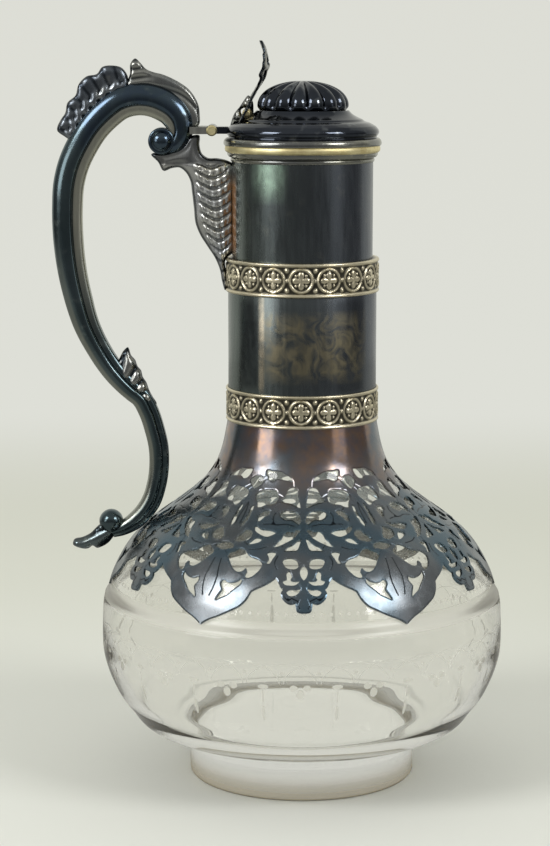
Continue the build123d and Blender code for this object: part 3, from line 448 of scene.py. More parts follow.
def engravedGlass(cuts):
    # Clear soda-lime glass, blown and fire-polished, so it is smooth and nearly colourless. The
    # wheel engraving is a fine grey-white scratch pattern that scatters light.
    material, tree, place = blank("engravedGlass")
    scaled = add(tree, "VectorMath", {0: place, "Scale": 1000.0}, operation="SCALE")
    x, y, z = (add(tree, "SeparateXYZ", [scaled], out=k) for k in range(3))
    turn = add(tree, "Math", [add(tree, "Math", [y, x], operation="ARCTAN2"), 180 / np.pi], operation="MULTIPLY")
    front = -90.0

    def nearest(pitch, phase):
        # Distance along the belly, 1.335 mm to a degree, to the nearest place at this pitch.
        moved = add(tree, "Math", [turn, front + phase], operation="SUBTRACT")
        wrapped = add(tree, "Math", [moved, pitch / 2, -pitch / 2], operation="WRAP")
        return add(tree, "Math", [wrapped, 1.335], operation="MULTIPLY")

    def oval(across, level, wide, tall, line=None):
        # 1 inside (across/wide)^2 + (rise/tall)^2 = 1, or along it where a line width is given.
        rise = add(tree, "Math", [z, level], operation="SUBTRACT")
        pair = add(tree, "CombineXYZ", [across, rise, 0.0])
        pair = add(tree, "VectorMath", {0: pair, 1: (1 / wide, 1 / tall, 0.0)}, operation="MULTIPLY")
        reach = add(tree, "VectorMath", [pair], "Value", operation="LENGTH")
        if line is None:
            return add(tree, "MapRange", [reach, 1.0, 0.8, 0.0, 1.0])
        off = add(tree, "Math", [reach, 1.0, line / wide * 0.6], operation="COMPARE")
        return off

    band = add(tree, "Math", [
        add(tree, "MapRange", [z, 70.0, 70.4, 0.0, 1.0]), add(tree, "MapRange", [z, 76.2, 75.8, 0.0, 1.0])
    ], operation="MULTIPLY")
    over = add(tree, "MapRange", [z, 54.3, 54.7, 0.0, 1.0])
    half, quarter = nearest(20.0, -11.0), nearest(20.0, -1.0)
    shapes = [
        (band, cuts["band"]),
        (oval(nearest(2.6, 0.0), 78.6, 0.75, 0.75), cuts["dots"]),
        (oval(nearest(10.0, -6.0), 58.4, 0.85, 0.65), cuts["dots"]),
        (oval(half, 53.4, 2.2, 0.8), cuts["drops"]),
        (oval(half, 43.2, 0.75, 3.4), cuts["drops"]),
        (oval(half, 49.5, 0.4, 2.6), cuts["drops"]),
        (oval(quarter, 50.6, 1.5, 1.9), cuts["flowers"]),
    ]
    for k in (0, 1):
        arch = oval(nearest(20.0, -6.0 + k * 10.0), 54.5, 12.6, 7.2, 0.28)
        shapes.append((add(tree, "Math", [arch, over], operation="MULTIPLY"), cuts["arches"]))
        side = add(tree, "Math", [quarter, 4.8 * k - 2.4], operation="SUBTRACT")
        shapes.append((oval(side, 53.0, 1.6, 1.2), cuts["flowers"]))
    cut = 0.0
    for shape, depth in shapes:
        cut = add(tree, "Math", [add(tree, "Math", [shape, depth], operation="MULTIPLY"), cut], operation="MAXIMUM")
    outer = add(tree, "Attribute", out="Fac", attribute_name="outer")  # only the outer face is cut
    cut = add(tree, "Math", [cut, add(tree, "MapRange", [outer, 0.4, 0.6, 0.0, 1.0])], operation="MULTIPLY")
    waves = add(tree, "TexNoise", {"Vector": place, "Scale": 1000 / 30, "Detail": 1.0})
    surface = add(tree, "Math", [cut, -0.2, waves], operation="MULTIPLY_ADD")
    bump = add(tree, "Bump", {"Height": surface, "Strength": 0.12, "Distance": 0.4 * mm})
    clear = add(tree, "BsdfPrincipled", {
        "Base Color": linear("#fcfcf9"), "Roughness": add(tree, "Math", [cut, 0.5], operation="MULTIPLY"),
        "IOR": 1.5, "Transmission Weight": 1.0, "Normal": bump,
    })
    ground = add(tree, "BsdfDiffuse", {"Color": linear("#dcdad0")})
    footBrown = add(tree, "BsdfDiffuse", {"Color": linear("#8d7f5c")})  # brown diffuse colour on the foot's outside, stronger towards its bottom edge
    edgeRing = add(tree, "MapRange", [z, 13.0, 0.6, 0.08, cuts["footBrownShare"]], interpolation_type="SMOOTHSTEP")
    edgeRing = add(tree, "Math", [edgeRing, add(tree, "MapRange", [outer, 0.4, 0.6, 0.0, 1.0])], operation="MULTIPLY")
    reach = add(tree, "VectorMath", {0: add(tree, "CombineXYZ", [x, y, 0.0])}, "Value", operation="LENGTH")
    edgeRing = add(tree, "Math", [edgeRing, add(tree, "MapRange", [reach, 38.0, 42.5, 0.0, 1.0])], operation="MULTIPLY")
    mixed = add(tree, "MixShader", [add(tree, "Math", [cut, 0.45], operation="MULTIPLY"), clear, ground])
    mixed = add(tree, "MixShader", [edgeRing, mixed, footBrown])
    add(tree, "OutputMaterial", [mixed])
    return material


glassMaterial = engravedGlass({"band": 0.55, "dots": 0.7, "arches": 0.6, "drops": 0.75, "flowers": 0.8, "footBrownShare": 0.7})
skirtMaterial = skirtPlate({
    "blue": "#576a76", "grey": "#6f7478", "silver": "#74787b", "copper": "#9d7f69", "plum": "#7f7376",
    "line": "#23292e", "rough": 0.25,
})
brassMaterial = baredBrass({"bright": "#f2e6b4", "dull": "#dccd98", "rough": 0.42})
plasterMaterial = setPlaster()
print("glass, brass and plaster materials made")

# Line of the flare, shared by the glass and the skirt.
flare = {
    "top": edge("pierced_skirt", 1, 2),
    "line": [
        (28.3, 138.0), (28.99, 134.0), (30.27, 128.0), (32.36, 122.0), (34.71, 118.0), (38.04, 114.0),
        (42.33, 110.0), (47.61, 106.0), (53.12, 102.0), (58.53, 98.0), (62.88, 94.0), (66.34, 90.0),
        (68.97, 86.0), (71.13, 82.0), (72.91, 78.0),
    ],
    "tip": (74.35, edge("pierced_skirt", 0, 2)),
    "sheet": 0.8,
}
flareLine = smoothLine([(28.02, flare["top"])] + flare["line"] + [flare["tip"]], count=400)
flareLength = np.concatenate([[0], np.cumsum(np.linalg.norm(np.diff(flareLine, axis=0), axis=1))])


def onFlare(height):
    # Radius of the flare, and the distance down its line from the top, at each height.
    order = slice(None, None, -1)
    radius = np.interp(height, flareLine[order, 1], flareLine[order, 0])
    return radius, np.interp(height, flareLine[order, 1], flareLength[order])


glass = {
    "foot": edge("glass_body", 1, 0),
    "wall": 3.0,
    "neck": 24.4,
    "top": edge("glass_body", 1, 2),
    "columns": 224,
}
under = offsetLine(flareLine, -1.05)[60::12]
if under[len(under) // 2, 0] > onFlare(under[len(under) // 2, 1])[0]:
    under = offsetLine(flareLine, 1.05)[60::12]
belly = [
    (43.3, 16.4), (44.6, 17.3), (51.7, 18.3), (57.6, 19.8), (60.6, 21.2), (62.8, 22.8), (66.5, 27.6),
    (70.1, 32.3), (72.8, 37.6), (74.95, 43.2), (76.35, 49.0), (76.65, 55.0), (76.5, 62.0), (76.0, 69.0),
    (75.4, 71.4),
]
footLine = np.array([(0, 0.0), (30.0, 0.0), (41.6, 0.0), (42.5, 0.25), (43.05, 0.9), (43.2, 1.8), (43.2, 8.0), (43.2, 14.0)])
neckGlass = [(glass["neck"] + 0.1, 146.0), (glass["neck"], 160.0), (glass["neck"], 200.0)]
outside = np.vstack([smoothLine(belly + under[::-1].tolist() + neckGlass, count=150), [(glass["neck"], glass["top"])]])
hollow = smoothLine(
    [(0.001, 20.6), (20.0, 20.7), (38.0, 21.1), (50.0, 22.0), (57.0, 24.0), (62.5, 28.6), (66.9, 34.0), (69.8, 39.6),
     (71.9, 45.0), (73.2, 50.5), (73.65, 56.0), (73.5, 63.0), (72.8, 70.0), (71.0, 76.0), (68.6, 81.5),
     (64.7, 88.0), (59.0, 93.5), (50.8, 99.0), (42.0, 104.8), (33.8, 111.6), (28.0, 119.0), (24.4, 128.0),
     (22.2, 138.0), (21.4, 150.0), (21.4, 190.0), (21.4, 234.0)],
    count=120,
)
glassProfile = np.vstack([footLine, outside, [(23.4, glass["top"] + 0.0)], [(21.4, glass["top"])], hollow[::-1], [(0.0, 20.6)]])
outerMark = np.concatenate([np.ones(len(footLine) + len(outside)), np.zeros(len(glassProfile) - len(footLine) - len(outside))])
corners, faces = around(glassProfile, glass["columns"], closed=False)
addPiece(
    "glassBody", corners, faces, "jug", glassMaterial, ["glass_body"],
    {"outer": np.repeat(outerMark, glass["columns"])}, sharp=50,
)
print("glass made")

skirt = {"repeats": 6, "spacing": 1.5, "step": 0.75}
halfHoles = [
    [(1.9, 94.2), (6.7, 94.0), (7.6, 95.7), (2.4, 95.9)],
    [(5.3, 92.8), (6.2, 92.1), (6.1, 90.2), (7.6, 89.6), (7.1, 88.7), (5.0, 88.3), (2.9, 88.5), (1.5, 89.7),
     (3.3, 89.6), (4.8, 90.0), (4.3, 90.9), (4.7, 92.1)],
    [(1.2, 87.3), (2.6, 86.9), (5.1, 86.9), (6.3, 86.2), (5.5, 85.1), (3.6, 85.0), (1.9, 86.0)],
    [(0.7, 102.4), (1.5, 102.2), (2.7, 101.3), (4.0, 100.5), (5.9, 99.8), (6.8, 98.9), (4.4, 98.8), (2.3, 99.0), (1.3, 100.8)],
    [(9.9, 98.1), (11.6, 98.4), (13.2, 97.9), (12.4, 96.5), (13.4, 94.9), (12.6, 94.7), (11.2, 96.2)],
    [(0.9, 104.8), (2.8, 104.9), (3.9, 104.3), (5.6, 104.5), (7.0, 103.7), (7.9, 102.3), (9.3, 101.4), (10.1, 100.5),
     (11.5, 99.7), (9.7, 99.8), (7.3, 100.6), (5.1, 101.5), (3.3, 102.4), (2.1, 103.5)],
    [(9.9, 103.8), (11.4, 104.4), (13.5, 104.6), (15.5, 104.7), (17.2, 105.5), (17.8, 105.3), (17.5, 104.1), (15.8, 103.1),
     (13.4, 102.5), (11.4, 103.0)],
    [(15.0, 101.6), (16.8, 102.2), (18.4, 101.5), (20.0, 100.1), (17.8, 100.4), (16.0, 100.9)],
    [(0.9, 106.8), (1.1, 108.6), (2.2, 109.8), (4.7, 110.4), (7.1, 110.3), (8.5, 109.6), (8.0, 108.3), (6.4, 107.5),
     (4.4, 107.6), (2.8, 107.0), (1.4, 106.3)],
    [(11.9, 110.0), (13.7, 110.2), (15.3, 109.5), (16.4, 108.3), (16.5, 106.7), (15.2, 107.3), (14.0, 108.3), (12.5, 108.9)],
    [(2.1, 117.0), (3.5, 117.6), (5.2, 117.2), (6.0, 115.9), (6.6, 114.6), (8.1, 113.5), (7.4, 112.9), (4.9, 112.5),
     (2.5, 111.6), (1.1, 111.1), (1.3, 113.0), (1.8, 114.9)],
    [(9.7, 116.5), (12.2, 116.7), (15.1, 116.3), (17.0, 115.2), (17.4, 113.7), (16.8, 112.2), (16.9, 110.9), (15.7, 110.9),
     (13.7, 111.7), (10.6, 112.2), (9.6, 112.7), (9.0, 114.2)],
    [(3.6, 119.3), (4.2, 120.5), (6.2, 121.8), (8.3, 122.7), (11.0, 122.8), (13.2, 122.9), (13.2, 121.0), (12.6, 119.8),
     (11.0, 119.4), (9.3, 120.2), (7.5, 120.0), (5.2, 119.7)],
    [(14.2, 119.5), (15.8, 121.0), (17.8, 120.0), (19.8, 118.6), (20.6, 117.0), (20.0, 115.9), (18.6, 116.2), (16.8, 117.1), (15.2, 118.2)],
    [(18.0, 111.6), (19.0, 111.0), (20.0, 109.0), (21.4, 107.4), (22.7, 105.7), (22.8, 104.9), (21.7, 105.5), (20.3, 106.9),
     (19.2, 108.6), (18.3, 110.3)],
    [(18.3, 103.1), (19.4, 104.2), (21.0, 104.3), (22.2, 103.2), (23.6, 102.4), (25.0, 100.9), (23.7, 100.5), (21.9, 100.8),
     (20.3, 101.2), (19.1, 102.1)],
    [(25.1, 99.3), (26.3, 100.1), (29.1, 100.3), (30.9, 99.4), (30.5, 98.3), (29.1, 97.9), (27.1, 98.3), (25.6, 98.6)],
    [(14.9, 94.5), (16.0, 95.8), (18.4, 96.5), (20.1, 97.2), (20.9, 98.2), (23.0, 98.9), (25.0, 98.0), (27.0, 97.2),
     (27.5, 96.4), (26.9, 95.4), (26.2, 93.8), (25.2, 92.5), (24.3, 91.9), (23.1, 91.8), (21.7, 92.3), (20.8, 93.2),
     (20.4, 92.0), (21.2, 90.8), (20.7, 90.2), (19.1, 90.4), (17.1, 91.7), (15.7, 93.0)],
    [(22.2, 89.9), (23.4, 89.1), (25.1, 88.4), (27.5, 88.3), (28.9, 89.0), (29.8, 87.7), (29.3, 85.8), (30.4, 84.3),
     (31.6, 82.3), (29.8, 83.2), (27.6, 84.3), (25.8, 85.8), (23.9, 87.2), (22.4, 88.6)],
]
tearDrop = [(0.0, 94.5), (0.8, 93.9), (1.4, 92.5), (0.9, 90.8), (0.0, 89.9)]
lowerEdge = [
    [(0.0, 79.3), (1.4, 79.35), (2.6, 79.9), (2.9, 81.0), (3.1, 82.5)],
    [(3.1, 82.5), (4.7, 82.1), (6.8, 83.0), (8.1, 84.6), (8.2, 86.0), (7.5, 86.9)],
    [(7.5, 86.9), (8.6, 87.9), (9.2, 89.2), (10.1, 90.5)],
    [(10.1, 90.5), (12.2, 89.1), (14.7, 87.8), (17.2, 86.7), (18.8, 85.9)],
    [(18.8, 85.9), (20.4, 83.4), (22.8, 81.0), (26.3, 79.1), (30.7, 76.9), (34.4, 75.2), (37.1, 73.45)],
]
chasedLines = [
    [(29.6, 95.4), (30.6, 92.4), (31.2, 89.6), (32.3, 86.7), (34.0, 83.4)],
    [(1.6, 83.8), (2.2, 82.0), (1.4, 80.6)],
    [(4.4, 84.2), (5.6, 83.4), (6.9, 84.6)],
    [(9.6, 93.2), (10.4, 95.2), (9.2, 97.2)],
    [(3.2, 105.8), (6.6, 106.3), (9.6, 106.0), (12.2, 106.2), (14.4, 106.0)],
    [(9.8, 109.6), (10.9, 108.2), (10.8, 106.9)],
    [(13.2, 99.7), (15.6, 99.0), (18.0, 98.8), (19.4, 98.7)],
    [(19.9, 112.2), (20.8, 109.7), (22.2, 107.2), (23.2, 105.7)],
]


def unrolled(points):
    # From the front view (across, height) to (arc length round the jug, distance down the flare):
    # the turn is the arcsine of across over radius.
    p = np.asarray(points, float)
    radius, down = onFlare(p[:, 1])
    return np.stack([np.arcsin(np.clip(p[:, 0] / radius, -1, 1)) * radius, down], axis=1)


sectorTurn = np.pi / skirt["repeats"]
bottomEdge = np.vstack([smoothLine(part, step=skirt["step"])[:-1] for part in lowerEdge])
tipPoint = np.array([[flareLine[-1, 0] * sectorTurn, flareLength[-1]]])
seamDown = np.linspace(flareLength[-1], 0, 72)[1:]
seamRadius = np.interp(seamDown, flareLength, flareLine[:, 0])
sideEdge = np.stack([seamRadius * sectorTurn, seamDown], axis=1)
topEdge = np.stack([np.linspace(seamRadius[-1] * sectorTurn, 0, 16)[1:-1], np.zeros(14)], axis=1)
axisEdge = np.stack([np.zeros(58), np.linspace(0, onFlare(79.3)[1], 59)[:-1]], axis=1)
halfOutline = np.vstack([unrolled(bottomEdge), tipPoint, sideEdge, topEdge, axisEdge])
holeLoops = [unrolled(smoothLine(hole, step=skirt["step"], closed=True)) for hole in halfHoles]
dropHalf = smoothLine(tearDrop, step=0.5)
dropLoop = unrolled(np.vstack([dropHalf, dropHalf[1:-1][::-1] * (-1, 1)]))
chases = [unrolled(smoothLine(line, step=0.7)) for line in chasedLines]
flat, triangles = pierced(halfOutline, holeLoops + [dropLoop], skirt["spacing"], chases)
free = [ring(loop) for loop in holeLoops + [dropLoop]] + [unrolled(bottomEdge)]
rimGap = distanceTo(flat, free)
chaseGap = distanceTo(flat, chases)
lappetField = ramp(flat[:, 0], 11.5, 16.5) * ramp(flat[:, 1], onFlare(98.0)[1], onFlare(93.0)[1])


def flareSurface(flatPoints, inset):
    # Back from the unrolled half motif to space: the turn is arc length over radius, and the inset
    # goes along the normal of the flare line.
    line = flareLine if inset == 0 else offsetLine(flareLine, insetSign * inset)
    radius = np.interp(flatPoints[:, 1], flareLength, flareLine[:, 0])
    turn = flatPoints[:, 0] / radius
    r = np.interp(flatPoints[:, 1], flareLength, line[:, 0])
    z = np.interp(flatPoints[:, 1], flareLength, line[:, 1])
    return turn, r, z


probe = offsetLine(flareLine, 1.0)
insetSign = 1.0 if probe[200, 0] < flareLine[200, 0] else -1.0
blocks, tris = [], []
turn, rOut, zOut = flareSurface(flat, 0)
_, rIn, zIn = flareSurface(flat, flare["sheet"])
frontCount = 0
for repeat in range(skirt["repeats"]):
    for side in (-1, 1):
        angle = -np.pi / 2 + repeat * 2 * sectorTurn + side * turn
        blocks.append(np.stack([rOut * np.cos(angle), rOut * np.sin(angle), zOut], axis=1))
        tris.append((triangles if side > 0 else triangles[:, ::-1]) + frontCount)
        frontCount += len(flat)
front = np.vstack(blocks)
backs = []
for repeat in range(skirt["repeats"]):
    for side in (-1, 1):
        angle = -np.pi / 2 + repeat * 2 * sectorTurn + side * turn
        backs.append(np.stack([rIn * np.cos(angle), rIn * np.sin(angle), zIn], axis=1))
copies = 2 * skirt["repeats"]
_, first, same = np.unique(np.round(front, 3), axis=0, return_index=True, return_inverse=True)
same = same.ravel()
front, back = front[first], np.vstack(backs)[first]
allTriangles = same[np.vstack(tris)]
ok = (allTriangles[:, 0] != allTriangles[:, 1]) & (allTriangles[:, 1] != allTriangles[:, 2]) & (allTriangles[:, 0] != allTriangles[:, 2])
allTriangles = allTriangles[ok]
marks = {"rim": rimGap, "chase": chaseGap, "lappet": lappetField}
marks = {name: np.tile(values, copies)[first] for name, values in marks.items()}
marks = {name: np.concatenate([values, values]) for name, values in marks.items()}
addPiece(
    "piercedSkirt", np.vstack([front, back]), shellFaces(allTriangles, len(front)), "jug",
    skirtMaterial, ["pierced_skirt"], marks, sharp=40,
)
print("skirt made:", len(allTriangles), "front triangles")

neck = {"bottom": edge("neck_sleeve", 0, 2), "top": edge("neck_sleeve", 1, 2)}
stepTop = edge("upper_band", 1, 2) - 1.6
sleeveProfile = np.array([
    (28.0, neck["bottom"]), (28.0, 160.0), (28.0, stepTop - 1.6), (27.6, stepTop - 0.9), (26.45, stepTop),
    (26.45, 215.0), (26.45, neck["top"]), (25.55, neck["top"]), (25.55, stepTop - 0.4), (27.1, stepTop - 2.0),
    (27.1, neck["bottom"]),
])
corners, faces = around(sleeveProfile, 160)
addPiece("neckSleeve", corners, faces, "jug", neckPlate, ["neck_sleeve"], sharp=30)

band = {"roundels": 17, "perRoundel": 32, "rows": 34, "height": 12.5, "rim": 1.15}


def roundelRelief(angle, up):
    # Height in millimetres of the stamped relief: a ring round each roundel, four petals and four
    # small buds in it, a bud in each corner, and a plain rim above and below.
    pitch = 2 * np.pi / band["roundels"]
    lead = -np.pi / 2 - np.radians(1.5)
    u = ((angle - lead + pitch / 2) % pitch - pitch / 2) * 28.6
    reach, way = np.hypot(u, up), np.arctan2(up, u)
    circle = np.exp(-(((reach - 4.25) / 0.42) ** 2))
    petals = ramp(3.3 * np.abs(np.cos(2 * way)) ** 0.7 - reach, -0.25, 0.45)
    buds = ramp(1.5 - np.abs(reach - 2.6) * 2.2, 0, 1) * ramp(np.abs(np.sin(2 * way)), 0.9, 1.0)
    heart = np.exp(-((reach / 0.7) ** 2))
    half = pitch / 2 * 28.6
    corner = np.hypot(np.abs(u) - half, np.abs(up) - 3.7)
    spandrel = np.exp(-((corner / 0.75) ** 2))
    knot = np.exp(-((np.hypot(np.abs(u) - half, up) / 0.6) ** 2))
    inner = np.maximum.reduce([circle, petals * 0.85, buds * 0.7, heart, spandrel * 0.9, knot * 0.8])
    inner = inner * (np.abs(up) < band["height"] / 2 - band["rim"])
    rimUp = ramp(np.abs(up), band["height"] / 2 - band["rim"] - 0.15, band["height"] / 2 - band["rim"] + 0.15)
    return np.maximum(inner, rimUp)


def addBand(name, nodeName, profileBack):
    # Stamped strip: the face is the relief over a plain cylinder, and the back is smooth.
    low, high = edge(nodeName, 0, 2), edge(nodeName, 1, 2)
    outer = edge(nodeName, 1, 0)
    height = np.linspace(low, high, band["rows"])
    columns = band["roundels"] * band["perRoundel"]
    angle = np.linspace(0, 2 * np.pi, columns, endpoint=False)
    relief = roundelRelief(angle[None, :], (height - (low + high) / 2)[:, None])
    face = outer - 0.75 + 0.7 * relief
    face[[0, -1]] = outer - 0.35
    back = np.repeat(np.array(profileBack)[:, :1], columns, axis=1)
    radius = np.vstack([face, back])
    levels = np.concatenate([height, np.array(profileBack)[:, 1]])
    z = np.repeat(levels[:, None], columns, axis=1)
    points = np.stack([radius * np.cos(angle), radius * np.sin(angle), z], axis=-1).reshape(-1, 3)
    mark = np.concatenate([relief.ravel(), np.zeros(back.size)])
    faces = [gridFaces(len(levels), columns, True, True)]
    addPiece(name, points, faces, "jug", bandPlate, [nodeName], {"relief": mark}, sharp=60)


addBand("lowerBand", "lower_band", [(28.05, 150.4), (28.05, 142.0), (28.3, 137.9)])
addBand("upperBand", "upper_band", [(26.5, 199.2), (26.5, 197.7), (28.05, 197.65), (28.05, 186.7)])
print("neck made")

rimLow, rimHigh = edge("rim_collar", 0, 2), edge("rim_collar", 1, 2)
collarLow = edge("neck_sleeve", 1, 2)
collarLine = smoothLine(
    [(26.55, collarLow + 0.06), (26.9, collarLow + 0.5), (26.9, collarLow + 1.2), (26.5, collarLow + 1.7)], count=10
).tolist()
collarLine += smoothLine([(26.5, 236.75), (27.5, 236.95), (28.1, 237.7), (28.25, 238.6)], count=10).tolist()
brassLine = smoothLine([(28.3, 238.65), (28.95, 239.2), (29.05, 240.3), (28.9, 240.95)], count=10).tolist()
lipLine = smoothLine([(28.9, 241.0), (29.4, 241.4), (29.55, 242.3), (29.2, 243.3), (28.5, rimHigh)], count=12).tolist()
backLine = [(20.6, rimHigh), (20.4, rimHigh - 0.3), (20.4, rimLow), (21.2, rimLow), (21.2, collarLow + 0.06)]
collarProfile = np.array(collarLine + brassLine + lipLine + backLine)
corners, faces = around(collarProfile, 192)
collar = addPiece("rimCollar", corners, faces, "jug", collarPlate, ["rim_collar"], sharp=45)
collar.data.materials.append(brassMaterial)
centres = np.zeros(len(collar.data.polygons) * 3)
collar.data.polygons.foreach_get("center", centres)
centres = centres.reshape(-1, 3) / mm
onBrass = (centres[:, 2] > 238.7) & (centres[:, 2] < 241.2) & (np.hypot(centres[:, 0], centres[:, 1]) > 27)
collar.data.polygons.foreach_set("material_index", onBrass.astype(np.int32))
print("collar made")

lid = {"bottom": edge("lid_flange", 0, 2), "gadroons": 15, "perGadroon": 20, "depth": 1.8}
flangeOuter = np.vstack([
    smoothLine([(27.8, lid["bottom"]), (27.75, lid["bottom"] + 0.5)], count=3),
    smoothLine([(27.9, 244.7), (28.36, 245.3), (28.63, 246.2), (28.35, 247.1), (27.4, 248.25)], count=14),
    smoothLine([(27.2, 248.4), (25.2, 249.5), (22.7, 250.5), (22.45, 250.75)], count=10),
    smoothLine([(22.3, 250.85), (20.3, 251.75), (18.4, 252.95), (17.3, 254.1)], count=12),
])
flangeInner = np.array([(16.2, 254.1), (16.2, 244.95), (20.45, 244.95), (20.45, lid["bottom"])])
corners, faces = around(np.vstack([flangeOuter, flangeInner]), 176)
addPiece("lidFlange", corners, faces, "lid", lidPlate, ["lid_flange"], sharp=40)

domeLine = smoothLine(
    [(16.2, 254.3), (17.1, 255.3), (17.15, 256.8), (16.4, 258.9), (14.5, 261.1), (10.8, 263.2), (6.6, 264.4),
     (3.0, 264.9), (0.0, 265.0)],
    count=46,
)
domeTurn = np.linspace(0, 2 * np.pi, lid["gadroons"] * lid["perGadroon"], endpoint=False)
domeRise = np.linspace(0, 1, len(domeLine))
lobe = np.abs(np.cos(lid["gadroons"] * domeTurn / 2)) ** 0.75
fade = ramp(domeRise, 0.0, 0.06) * (1 - ramp(domeRise, 0.68, 0.9))
sink = lid["depth"] * (1 - lobe)[None, :] * fade[:, None] * (0.35 + 0.65 * domeLine[:, :1] / 17)
domeNormal = offsetLine(domeLine, 1.0) - domeLine
domeNormal *= np.where((domeNormal[:, :1] * domeLine[:, :1] + domeNormal[:, 1:] * (domeLine[:, 1:] - 252)) < 0, -1, 1)
domeRadius = domeLine[:, :1] - sink * domeNormal[:, :1]
domeHeight = domeLine[:, 1:] - sink * domeNormal[:, 1:]
underLine = smoothLine([(0.0, 263.6), (6.0, 262.9), (10.0, 261.2), (13.2, 258.6), (14.8, 256.0), (15.0, 254.3)], count=14)
domePoints = np.concatenate([
    np.stack([domeRadius * np.cos(domeTurn), domeRadius * np.sin(domeTurn), domeHeight], axis=-1),
    np.stack([
        underLine[:, :1] * np.cos(domeTurn), underLine[:, :1] * np.sin(domeTurn),
        np.repeat(underLine[:, 1:], len(domeTurn), axis=1),
    ], axis=-1),
])
addPiece(
    "lidDome", domePoints.reshape(-1, 3), [gridFaces(len(domePoints), len(domeTurn), True, True)],
    "lid", lidPlate, ["lid_dome"], sharp=70,
)
print("lid made")

handle = {"volute": (-52.6, 242.8), "rows": 220}
curl = [
    (-52.5, 242.7), (-50.5, 241.3), (-48.2, 241.5), (-46.4, 243.9), (-45.6, 247.2), (-46.2, 250.4),
]
mainLine = [
    (-48.0, 253.2), (-53.6, 257.0), (-60.7, 258.4), (-67.5, 257.0), (-73.5, 252.7), (-78.2, 247.8),
    (-82.0, 242.0), (-85.7, 234.4), (-87.7, 227.0), (-88.4, 218.0), (-88.2, 205.7), (-86.7, 192.8), (-84.6, 183.1),
    (-81.9, 173.9), (-77.5, 164.7), (-71.9, 156.1), (-66.2, 149.8), (-64.2, 148.0),
]
mainPath = smoothLine(curl + mainLine, count=handle["rows"])
mainSize = np.interp(
    np.linspace(0, 1, handle["rows"]),
    [0, 0.02, 0.05, 0.09, 0.14, 0.24, 0.4, 0.6, 0.75, 0.86, 0.94, 1.0],
    [6.6, 7.4, 9.0, 10.8, 11.8, 11.9, 11.5, 11.1, 10.2, 8.8, 8.3, 7.6],
)
halfSection = smoothLine(
    [(0.5, 0.0), (0.47, 0.42), (0.36, 0.74), (0.2, 0.93), (0.04, 1.0), (-0.1, 0.97), (-0.17, 0.88)], count=14
).tolist() + [(-0.19, 0.74), (-0.2, 0.62)] + smoothLine([(-0.24, 0.64), (-0.4, 0.63), (-0.47, 0.55), (-0.5, 0.0)], count=7).tolist()
halfSection = np.array(halfSection)
section = np.vstack([halfSection, halfSection[1:-1][::-1] * (1, -1)])
stripMark = ramp(-section[:, 0], 0.19, 0.235)
edgeMark = ramp(section[:, 0], 0.18, 0.3)


def addScroll(name, path, size, breadth, nodeName, turnOver):
    # Cast scroll bar: the section carried along its path. Its dull side, painted pale as a painted reflection of the
    # pale backdrop, is marked: the flat inner strip at first, and the outer edge from the share of the path where it
    # turns over.
    corners, faces = alongPath(path, 1.0, section, np.stack([size, breadth], axis=1))
    share = ramp(np.linspace(0, 1, len(path)), turnOver - 0.2, turnOver + 0.2)[:, None]
    mark = stripMark * (1 - share) + 0.55 * edgeMark * share
    marks = {"flange": np.vstack([mark[:1], mark, mark[-1:]]).ravel()}
    addPiece(name, corners, faces, "jug", handlePlate, [nodeName], marks, sharp=45)


mainBreadth = np.interp(mainSize, [6.6, 8.0, 11.3], [4.2, 4.7, 5.2])
addScroll("mainScroll", mainPath, mainSize, mainBreadth, "handle_main_scroll", 0.72)


def addButton(name, centre, profile, body, material, nodes=()):
    # Turned button on both sides: the profile (radius, distance from the middle plane) is turned
    # round an axis along Y.
    line = smoothLine(profile, count=14)
    line = np.vstack([line, line[::-1] * (1, -1)])
    points, faces = around(line, 40, closed=False)
    placed = np.stack([points[:, 0] + centre[0], points[:, 2], points[:, 1] + centre[1]], axis=1)
    return addPiece(name, placed, faces, body, material, nodes, sharp=50)


addButton("voluteEye", handle["volute"], [(0, 7.0), (1.6, 6.7), (2.9, 5.9), (3.7, 4.9), (4.0, 4.6), (4.4, 4.8), (4.8, 4.5), (5.0, 3.6)], "jug", handlePlate)

lowerPath = smoothLine(
    [(-64.4, 148.2), (-61.6, 145.9), (-58.8, 141.0), (-56.3, 133.5), (-54.9, 127.0), (-54.6, 121.0), (-55.6, 112.5),
     (-57.7, 106.0), (-61.4, 100.6), (-65.6, 97.0), (-69.6, 94.9), (-72.6, 94.0)],
    count=110,
)
lowerSize = np.interp(np.linspace(0, 1, 110), [0, 0.1, 0.7, 0.85, 1.0], [7.8, 7.5, 7.3, 6.6, 4.6])
lowerBreadth = np.interp(lowerSize, [4.6, 7.6], [3.0, 4.2])
addScroll("lowerScroll", lowerPath, lowerSize, lowerBreadth, "handle_lower_scroll", -0.2)
print("handle made")


def addLeaf(name, outline, half, rise, relief, body, nodes, holes=(), spacing=0.8, material=None):
    # Cast leaf seen from the side: the two faces bulge from the outline, as a quarter circle over
    # the rise, and carry ribs of the relief's height.
    loop = smoothLine(outline, step=0.6, closed=True)
    holeLoops = [smoothLine(hole, step=0.5, closed=True) for hole in holes]
    flatPoints, leafTriangles = pierced(loop, holeLoops, spacing)
    gap = np.clip(distanceTo(flatPoints, [ring(loop)] + [ring(h) for h in holeLoops]) / rise, 0, 1)
    carved = relief(flatPoints)
    bulge = half * (0.18 + 0.82 * np.sqrt(1 - (1 - gap) ** 2)) * (1 - 0.34 * carved * ramp(gap, 0.05, 0.4))
    faceA = np.stack([flatPoints[:, 0], -bulge, flatPoints[:, 1]], axis=1)
    faceB = np.stack([flatPoints[:, 0], bulge, flatPoints[:, 1]], axis=1)
    mark = np.tile((1 - carved) * ramp(gap, 0.0, 0.3), 2)
    return addPiece(
        name, np.vstack([faceA, faceB]), shellFaces(leafTriangles, len(flatPoints)), body,
        material or leafPlate, nodes, {"relief": mark}, sharp=70,
    )


